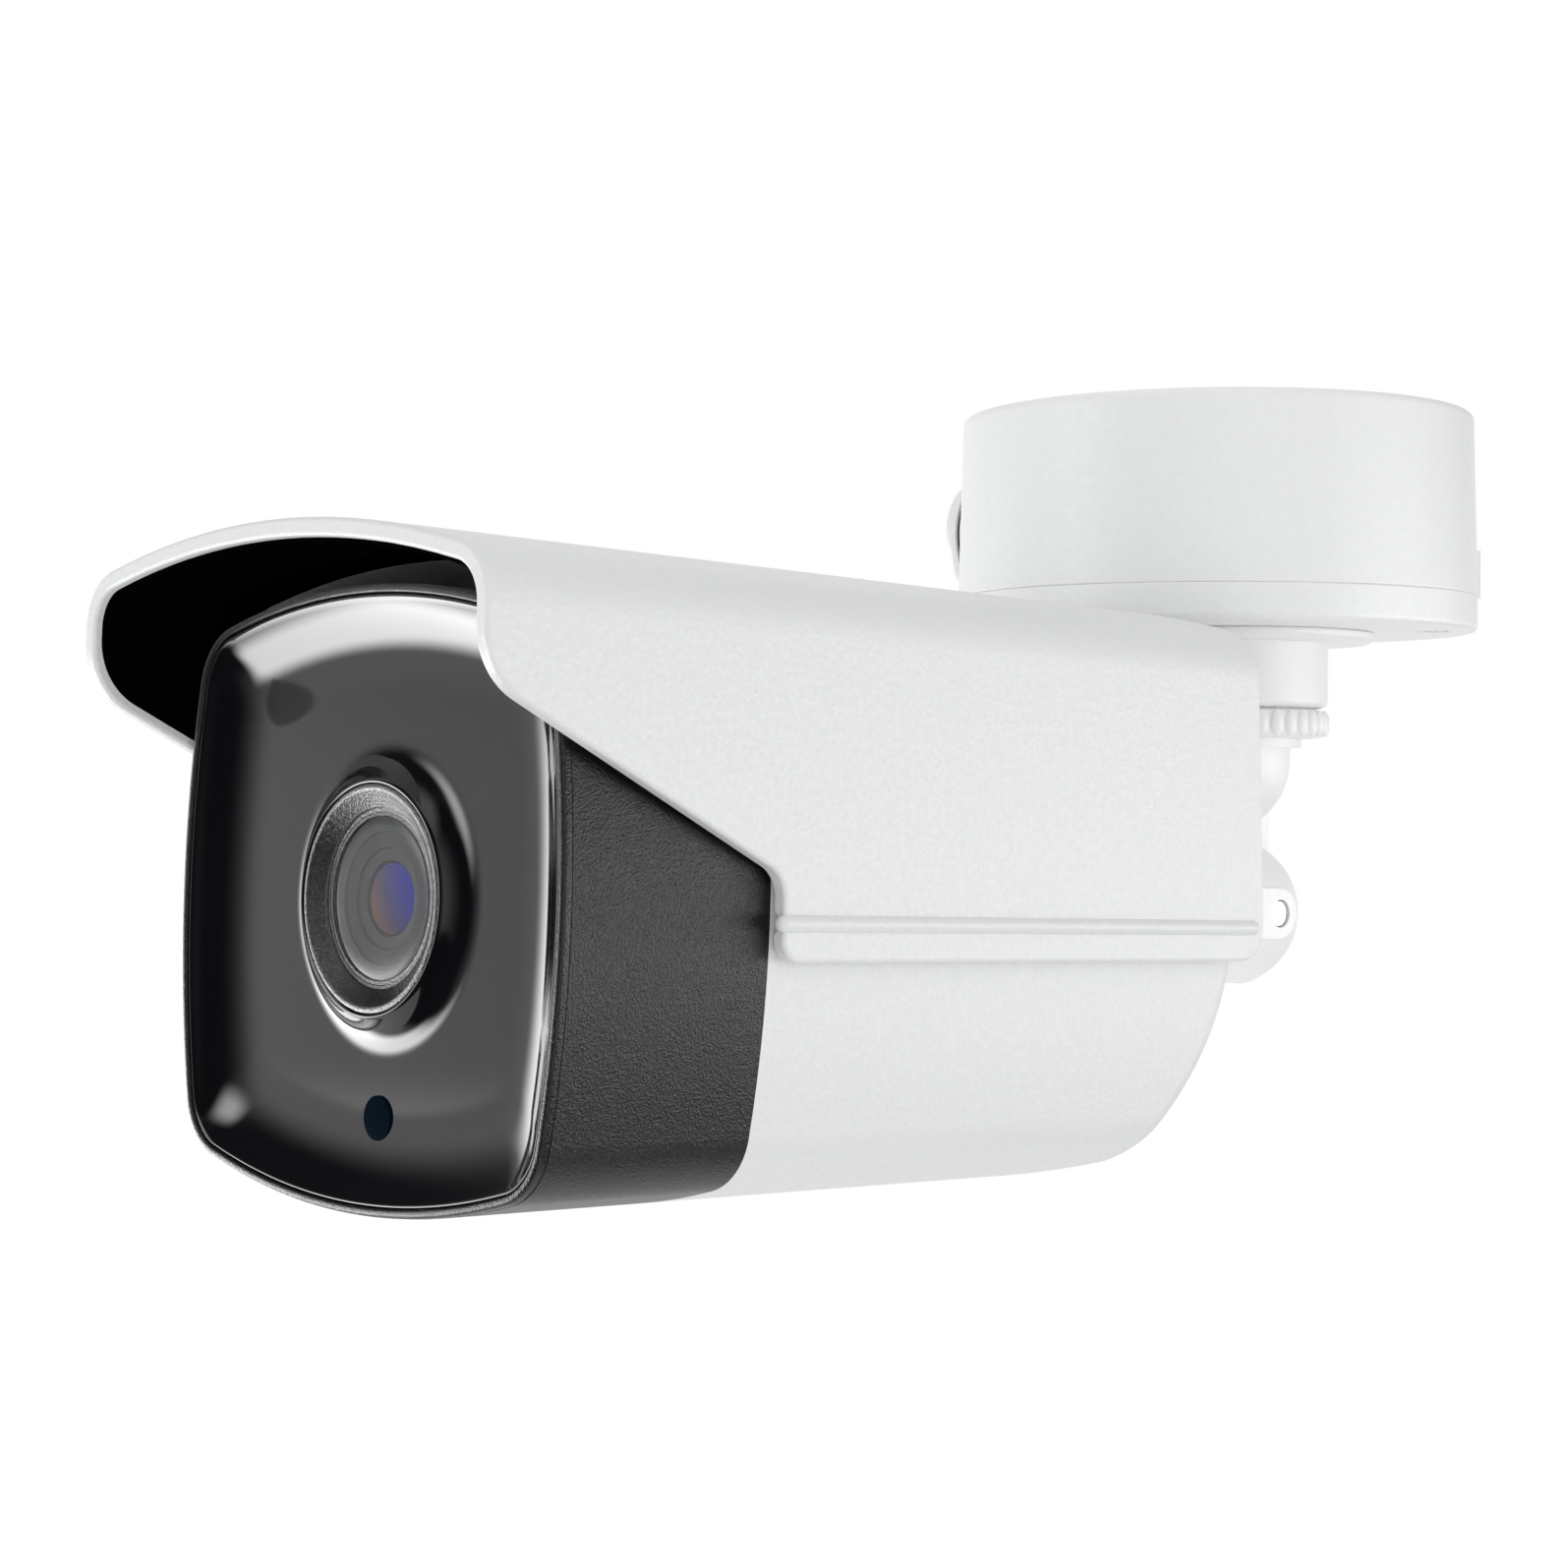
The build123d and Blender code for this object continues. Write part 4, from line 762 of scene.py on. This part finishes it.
def ridge_tree():
    """Rounded finger ridges set round a sleeve."""
    tree, given = new_tree("finger_ridges", [
        ("Radius", "Float"), ("Height", "Float"), ("Ridges", "Int"), ("Width", "Float"),
        ("Edge", "Float"), ("Material", "Material")])
    half = add_node(tree, "ShaderNodeMath", {
        0: given["Width"], 1: 0.5}, operation="MULTIPLY").outputs["Value"]
    slim = add_node(tree, "ShaderNodeMath", {
        0: half, 1: given["Edge"]}, operation="SUBTRACT").outputs["Value"]
    twice = add_node(tree, "ShaderNodeMath", {
        0: given["Edge"], 1: 2.0}, operation="MULTIPLY").outputs["Value"]
    short = add_node(tree, "ShaderNodeMath", {
        0: given["Height"], 1: twice}, operation="SUBTRACT").outputs["Value"]
    wide = add_node(tree, "GeometryNodeMeshCylinder", {"Vertices": 16, "Radius": half, "Depth": short})
    tall = add_node(tree, "GeometryNodeMeshCylinder", {
        "Vertices": 16, "Radius": slim, "Depth": given["Height"]})
    pair = add_node(tree, "GeometryNodeJoinGeometry")
    tree.links.new(wide.outputs["Mesh"], pair.inputs["Geometry"])
    tree.links.new(tall.outputs["Mesh"], pair.inputs["Geometry"])
    bar = add_node(tree, "GeometryNodeConvexHull", {
        "Geometry": pair.outputs["Geometry"]}).outputs["Convex Hull"]
    flat = add_node(tree, "GeometryNodeTransform", {
        "Geometry": bar, "Scale": (RIDGE_FLATNESS, 1.0, 1.0)}).outputs["Geometry"]
    inset = add_node(tree, "ShaderNodeMath", {
        0: half, 1: RIDGE_FLATNESS}, operation="MULTIPLY").outputs["Value"]
    seat = add_node(tree, "ShaderNodeMath", {
        0: given["Radius"], 1: inset}, operation="SUBTRACT").outputs["Value"]
    hoop = add_node(tree, "GeometryNodeMeshCircle", {
        "Vertices": given["Ridges"], "Radius": seat}).outputs["Mesh"]
    spot = add_node(tree, "GeometryNodeInputPosition").outputs["Position"]
    turn = add_node(tree, "FunctionNodeAlignRotationToVector", {
        "Vector": spot}, axis="X", pivot_axis="Z")
    copies = add_node(tree, "GeometryNodeInstanceOnPoints", {
        "Points": hoop, "Instance": flat, "Rotation": turn.outputs["Rotation"]}).outputs["Instances"]
    both = add_node(tree, "GeometryNodeJoinGeometry")
    tree.links.new(copies, both.inputs["Geometry"])
    tree.links.new(given["Geometry"], both.inputs["Geometry"])
    end_tree(tree, both.outputs["Geometry"], given["Material"])
    return tree


class BULLETCAM_OT_lock_rings(bpy.types.Operator):
    """Lock rings of the pan and roll joints, with rounded finger ridges"""
    bl_idname = "bulletcam.lock_rings"
    bl_label = "Lock rings"

    def execute(self, context):
        repeat = context.scene.bullet_camera_repeat
        radius = repeat.ring_radius / MM
        half = repeat.ring_height / MM / 2
        seat = half - RING_LIP
        round_rim = [(radius - 2.2, half), (radius - 1.5, half - 0.22), (radius - 1.08, half - 0.65),
                     (radius - 0.9, half - 1.3)]
        sleeve = [(RING_BORE, half)] + round_rim + [(r, -z) for r, z in reversed(round_rim)]
        sleeve += [(RING_LIP_BORE, -half), (RING_LIP_BORE, -seat), (RING_BORE, -seat)]
        tree = ridge_tree()
        coat = FINISHES["bracket_white"]
        rest = {
            "pan_lock_ring": ("pan_ring", Matrix.Identity(4)),
            "roll_lock_ring": ("roll_ring", Matrix((ACROSS, -UPWARD, FORWARD)).transposed().to_4x4()),
        }
        for node, (body, turn) in rest.items():
            low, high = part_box(node)
            place = Matrix.Translation((Vector(low) + Vector(high)) / 2) @ turn
            start = lathe_mesh(node + "_sleeve", sleeve, upright, 30.0, closed=True)
            grown = grow(node + "_ridged", start, tree, {
                "Radius": repeat.ring_radius, "Height": repeat.ring_height - 0.5 * MM,
                "Ridges": repeat.ridges, "Width": repeat.ridge_width, "Edge": RIDGE_EDGE * MM,
                "Material": coat})
            grown.transform(place)
            finish_mesh(grown, 40.0)
            new_piece(node + "_ridged", grown, coat, body, "bracket_white", node)
        return {"FINISHED"}


def screw_tree():
    """Pan-head screws with a cross recess, heads down."""
    tree, given = new_tree("cross_head_screws", [
        ("Radius", "Float"), ("Height", "Float"), ("Shank", "Float"), ("Length", "Float"),
        ("Material", "Material")])
    sizes = {}
    for name, source, share in (
            ("crown", "Radius", 0.78), ("brim", "Height", 0.6), ("brim lift", "Height", 0.2),
            ("arm", "Radius", 1.15), ("slot", "Radius", 0.24), ("recess", "Height", -0.5),
            ("shank lift", "Length", 0.5)):
        sizes[name] = add_node(tree, "ShaderNodeMath", {
            0: given[source], 1: share}, operation="MULTIPLY").outputs["Value"]
    up = add_node(tree, "ShaderNodeCombineXYZ", {"Z": sizes["brim lift"]}).outputs["Vector"]
    brim = add_node(tree, "GeometryNodeMeshCylinder", {
        "Vertices": 36, "Radius": given["Radius"], "Depth": sizes["brim"]})
    raised = add_node(tree, "GeometryNodeTransform", {
        "Geometry": brim.outputs["Mesh"], "Translation": up})
    crown = add_node(tree, "GeometryNodeMeshCylinder", {
        "Vertices": 36, "Radius": sizes["crown"], "Depth": given["Height"]})
    pair = add_node(tree, "GeometryNodeJoinGeometry")
    tree.links.new(raised.outputs["Geometry"], pair.inputs["Geometry"])
    tree.links.new(crown.outputs["Mesh"], pair.inputs["Geometry"])
    head = add_node(tree, "GeometryNodeConvexHull", {
        "Geometry": pair.outputs["Geometry"]}).outputs["Convex Hull"]
    size_x = add_node(tree, "ShaderNodeCombineXYZ", {
        "X": sizes["arm"], "Y": sizes["slot"], "Z": given["Height"]}).outputs["Vector"]
    size_y = add_node(tree, "ShaderNodeCombineXYZ", {
        "X": sizes["slot"], "Y": sizes["arm"], "Z": given["Height"]}).outputs["Vector"]
    below = add_node(tree, "ShaderNodeCombineXYZ", {"Z": sizes["recess"]}).outputs["Vector"]
    cut_x = add_node(tree, "GeometryNodeMeshCube", {"Size": size_x}).outputs["Mesh"]
    cut_y = add_node(tree, "GeometryNodeMeshCube", {"Size": size_y}).outputs["Mesh"]
    cross = add_node(tree, "GeometryNodeMeshBoolean", operation="UNION", solver="EXACT")
    tree.links.new(cut_x, cross.inputs["Mesh 2"])
    tree.links.new(cut_y, cross.inputs["Mesh 2"])
    moved = add_node(tree, "GeometryNodeTransform", {
        "Geometry": cross.outputs["Mesh"], "Translation": below})
    driven = add_node(tree, "GeometryNodeMeshBoolean", {
        "Mesh 1": head}, operation="DIFFERENCE", solver="EXACT")
    tree.links.new(moved.outputs["Geometry"], driven.inputs["Mesh 2"])
    shank = add_node(tree, "GeometryNodeMeshCylinder", {
        "Vertices": 24, "Radius": given["Shank"], "Depth": given["Length"]}).outputs["Mesh"]
    lift = add_node(tree, "ShaderNodeCombineXYZ", {"Z": sizes["shank lift"]}).outputs["Vector"]
    stem = add_node(tree, "GeometryNodeTransform", {"Geometry": shank, "Translation": lift})
    whole = add_node(tree, "GeometryNodeJoinGeometry")
    tree.links.new(driven.outputs["Mesh"], whole.inputs["Geometry"])
    tree.links.new(stem.outputs["Geometry"], whole.inputs["Geometry"])
    copies = add_node(tree, "GeometryNodeInstanceOnPoints", {
        "Points": given["Geometry"], "Instance": whole.outputs["Geometry"]}).outputs["Instances"]
    end_tree(tree, copies, given["Material"])
    return tree


def screw_places(node, radius):
    """Centres of a node's screws, which stand on a circle about the box axis."""
    turns = sorted(math.atan2(v.co.y, v.co.x) % (2 * math.pi) for v in node.data.vertices)
    groups = [[turns[0]]]
    for turn in turns[1:]:
        if turn - groups[-1][-1] > SCREW_GAP:
            groups.append([])
        groups[-1].append(turn)
    if len(groups) > 1 and groups[0][0] + 2 * math.pi - groups[-1][-1] < SCREW_GAP:
        groups[0] += [turn - 2 * math.pi for turn in groups.pop()]
    middles = [(min(group) + max(group)) / 2 for group in groups]
    return [(radius * math.cos(turn), radius * math.sin(turn)) for turn in middles]


class BULLETCAM_OT_cover_screws(bpy.types.Operator):
    """Cross-head screws that hold the box's cover"""
    bl_idname = "bulletcam.cover_screws"
    bl_label = "Cover screws"

    def execute(self, context):
        repeat = context.scene.bullet_camera_repeat
        height = SCREW_HEAD * MM
        low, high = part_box("cover_screws")
        places = screw_places(frame["nodes"]["cover_screws"], repeat.screw_circle)
        start = bpy.data.meshes.new("cover_screw_places")
        start.from_pydata([(x, y, low[2] + height / 2) for x, y in places], [], [])
        steel = FINISHES["screw_steel"]
        grown = grow("cover_screw_heads", start, screw_tree(), {
            "Radius": repeat.screw_radius, "Height": height, "Shank": SCREW_SHANK * MM,
            "Length": high[2] - low[2] - height / 2, "Material": steel})
        finish_mesh(grown, 30.0)
        new_piece("cover_screw_heads", grown, steel, "junction_box", "screw_steel", "cover_screws")
        return {"FINISHED"}


# Studio
def seen_white(tree):
    """1 for rays from the eye, in gloss and through glass, and 0 for light that falls on the object."""
    path = add_node(tree, "ShaderNodeLightPath").outputs
    seen = add_node(tree, "ShaderNodeMath", {
        0: path["Is Camera Ray"], 1: path["Is Glossy Ray"]}, operation="MAXIMUM")
    return add_node(tree, "ShaderNodeMath", {0: seen.outputs["Value"], 1: path["Is Transmission Ray"]},
                    operation="MAXIMUM").outputs["Value"]


def white_surround(sky):
    """White to the eye, in gloss and through glass, and softer as light on the object."""
    world = bpy.data.worlds.new("studio_surround")
    bpy.context.scene.world = world
    world.use_nodes = True
    tree = world.node_tree
    tree.nodes.clear()
    soft = add_node(tree, "ShaderNodeBackground", {"Color": rgba(srgb("#FFFFFF")), "Strength": sky})
    white = add_node(tree, "ShaderNodeBackground", {"Color": rgba(srgb("#FFFFFF")), "Strength": 1.0})
    mixed = add_node(tree, "ShaderNodeMixShader", {
        0: seen_white(tree), 1: soft.outputs["Background"], 2: white.outputs["Background"]})
    add_node(tree, "ShaderNodeOutputWorld", {"Surface": mixed.outputs["Shader"]})


def reflector(name, way, distance, width, height, strength, *edges):
    """Card with a soft edge, seen from the window in the direction way.

    It shows only in gloss: it lights nothing and the camera doesn't see it. The edges are the shares of
    its half width and half height that have its full strength.
    """
    mesh = bpy.data.meshes.new(name)
    x, y = width / 2, height / 2
    mesh.from_pydata([(-x, -y, 0), (x, -y, 0), (x, y, 0), (-x, y, 0)], [], [(0, 1, 2, 3)])
    material = bpy.data.materials.new(name)
    material.use_nodes = True
    tree = material.node_tree
    tree.nodes.clear()
    place = add_node(tree, "ShaderNodeTexCoord").outputs["Object"]
    apart = add_node(tree, "ShaderNodeSeparateXYZ", {"Vector": place}).outputs
    masks = []
    for axis, half, edge in (("X", x, edges[0]), ("Y", y, edges[-1])):
        off = add_node(tree, "ShaderNodeMath", {0: apart[axis]}, operation="ABSOLUTE").outputs["Value"]
        fade = add_node(tree, "ShaderNodeMapRange", {
            "Value": off, "From Min": half, "From Max": half * edge}, interpolation_type="SMOOTHSTEP")
        masks.append(fade.outputs["Result"])
    mask = add_node(tree, "ShaderNodeMath", {
        0: masks[0], 1: masks[1]}, operation="MULTIPLY").outputs["Value"]
    clear = add_node(tree, "ShaderNodeBsdfTransparent").outputs["BSDF"]
    glow = add_node(tree, "ShaderNodeEmission", {"Color": rgba(srgb("#FFFFFF")), "Strength": strength})
    mixed = add_node(tree, "ShaderNodeMixShader", {0: mask, 1: clear, 2: glow.outputs["Emission"]})
    add_node(tree, "ShaderNodeOutputMaterial", {"Surface": mixed.outputs["Shader"]})
    mesh.materials.append(material)
    card = bpy.data.objects.new(name, mesh)
    bpy.context.scene.collection.objects.link(card)
    way = Vector(way).normalized()
    card.location = level(0, PANE_Y, 0) + way * distance
    card.rotation_euler = (-way).to_track_quat("Z", "Y").to_euler()
    card.visible_camera = False
    card.visible_diffuse = False
    card.visible_transmission = False
    card.visible_shadow = False


def softbox(name, centre, aim, width, height, power):
    """Area lamp that neither the camera nor the gloss sees."""
    light = bpy.data.lights.new(name, "AREA")
    light.shape = "RECTANGLE"
    light.size = width
    light.size_y = height
    light.energy = power
    lamp = bpy.data.objects.new(name, light)
    bpy.context.scene.collection.objects.link(lamp)
    lamp.location = centre
    lamp.rotation_euler = (Vector(aim) - Vector(centre)).to_track_quat("-Z", "Y").to_euler()
    lamp.visible_camera = False
    lamp.visible_glossy = False


def pale_floor(drop):
    """Pale floor that shows white to the eye and in gloss, and keeps shadows."""
    mesh = bpy.data.meshes.new("floor")
    count = 48
    turns = [2 * math.pi * i / count for i in range(count)]
    rim = [(FLOOR_RADIUS * math.cos(t), FLOOR_RADIUS * math.sin(t), -drop) for t in turns]
    mesh.from_pydata(rim, [], [tuple(range(count))])
    material, tree, shader, place = new_material("pale_floor")
    pebble(tree, shader, place, lump_mm=400.0, depth_mm=0.1, low=srgb("#F4F4F4"), high=srgb("#F8F8F8"))
    set_shader(shader, Roughness=0.9)
    white = add_node(tree, "ShaderNodeEmission", {"Color": rgba(srgb("#FFFFFF")), "Strength": 1.0})
    mixed = add_node(tree, "ShaderNodeMixShader", {
        0: seen_white(tree), 1: shader.outputs["BSDF"], 2: white.outputs["Emission"]})
    tree.links.new(mixed.outputs["Shader"], tree.nodes["Material Output"].inputs["Surface"])
    mesh.materials.append(material)
    floor = bpy.data.objects.new("floor", mesh)
    bpy.context.scene.collection.objects.link(floor)


def photo_camera(studio):
    """Camera at the photograph's viewing angle."""
    lens = bpy.data.cameras.new("studio_camera")
    lens.sensor_width = 36.0
    lens.lens = studio.focal
    lens.clip_start = 0.01
    camera = bpy.data.objects.new("studio_camera", lens)
    bpy.context.scene.collection.objects.link(camera)
    right = Vector((math.cos(studio.yaw), math.sin(studio.yaw), 0))
    ahead = Vector((-math.sin(studio.yaw), math.cos(studio.yaw), 0))
    up = right.cross(ahead)
    rolled = math.cos(studio.roll) * right + math.sin(studio.roll) * up
    risen = math.cos(studio.roll) * up - math.sin(studio.roll) * right
    turn = Matrix((rolled, risen, -ahead)).transposed()
    camera.matrix_world = Matrix.Translation(Vector(studio.place)) @ turn.to_4x4()
    bpy.context.scene.camera = camera


class BULLETCAM_OT_studio(bpy.types.Operator):
    """Floor, soft light, reflectors and the camera"""
    bl_idname = "bulletcam.studio"
    bl_label = "Studio"

    def execute(self, context):
        scene = context.scene
        studio = scene.bullet_camera_studio
        scene.view_settings.view_transform = "Standard"
        white_surround(studio.sky)
        pale_floor(studio.floor_drop)
        middle = (0.0, -0.11, -0.08)
        # Place, aim, width, height and power
        softbox("left_softbox", (-0.9, -0.5, 0.25), middle, 0.9, 0.9, 1.8)
        softbox("right_softbox", (0.85, 0.45, 0.05), middle, 0.8, 0.9, 0.9)
        softbox("front_softbox", (0.6, -0.85, -0.3), middle, 0.8, 0.8, 1.1)
        # Way and distance from the window, width, height, strength and edges
        reflector("left_reflector", (-0.985, 0.03, -0.17), 0.6, 0.72, 0.44, 5.0, 0.35, 0.3)
        reflector("low_left_reflector", (-0.808, -0.455, -0.375), 0.55, 0.56, 0.33, 8.8, 0.45, 0.35)
        reflector("front_reflector", (-0.47, -0.83, 0.31), 0.5, 0.4, 0.27, 5.0, 0.1)
        reflector("rear_reflector", (0.72, 0.69, -0.07), 0.8, 1.2, 0.3, 6.0, 0.3)
        reflector("front_flag", (0.0, -1.0, 0.0), 0.8, 2.12, 2.4, 0.03, 0.1, 0.6)
        reflector("low_front_flag", (0.05, -0.7, -0.71), 0.6, 1.1, 0.7, 0.03, 0.6)
        reflector("high_left_flag", (-0.74, -0.27, 0.62), 0.8, 1.6, 1.16, 0.04, 0.55, 0.3)
        reflector("low_right_flag", (0.55, 0.53, -0.64), 0.8, 2.6, 1.1, 0.03, 0.6)
        reflector("high_right_flag", (0.61, 0.59, 0.53), 0.8, 2.6, 1.1, 0.03, 0.6)
        photo_camera(studio)
        return {"FINISHED"}


class BULLETCAM_PT_panel(bpy.types.Panel):
    """Sidebar panel with every step and size"""
    bl_idname = "BULLETCAM_PT_panel"
    bl_label = "Bullet camera"
    bl_space_type = "VIEW_3D"
    bl_region_type = "UI"
    bl_category = "Bullet camera"

    def draw(self, context):
        for step in STEPS:
            self.layout.operator("bulletcam." + step)
        for group in GROUPS:
            values = getattr(context.scene, group)
            box = self.layout.box()
            for name in values.bl_rna.properties.keys():
                if name not in ("rna_type", "name"):
                    box.prop(values, name)


STEPS = ["finish_nodes", "front_window", "window_frame", "lens", "light_sensor", "lock_rings",
         "cover_screws", "studio"]
GROUPS = {
    "bullet_camera_front": FrontSizes,
    "bullet_camera_repeat": RepeatSizes,
    "bullet_camera_colours": FinishColours,
    "bullet_camera_studio": StudioSettings,
}
CLASSES = [FrontSizes, RepeatSizes, FinishColours, StudioSettings, BULLETCAM_OT_finish_nodes,
           BULLETCAM_OT_front_window, BULLETCAM_OT_window_frame, BULLETCAM_OT_lens,
           BULLETCAM_OT_light_sensor, BULLETCAM_OT_lock_rings, BULLETCAM_OT_cover_screws,
           BULLETCAM_OT_studio, BULLETCAM_PT_panel]


def register():
    for item in CLASSES:
        bpy.utils.register_class(item)
    for name, group in GROUPS.items():
        setattr(bpy.types.Scene, name, bpy.props.PointerProperty(type=group))


def unregister():
    for name in GROUPS:
        delattr(bpy.types.Scene, name)
    for item in reversed(CLASSES):
        bpy.utils.unregister_class(item)


def main():
    register()
    for step in STEPS:
        getattr(bpy.ops.bulletcam, step)()


if __name__ == "__main__":
    main()
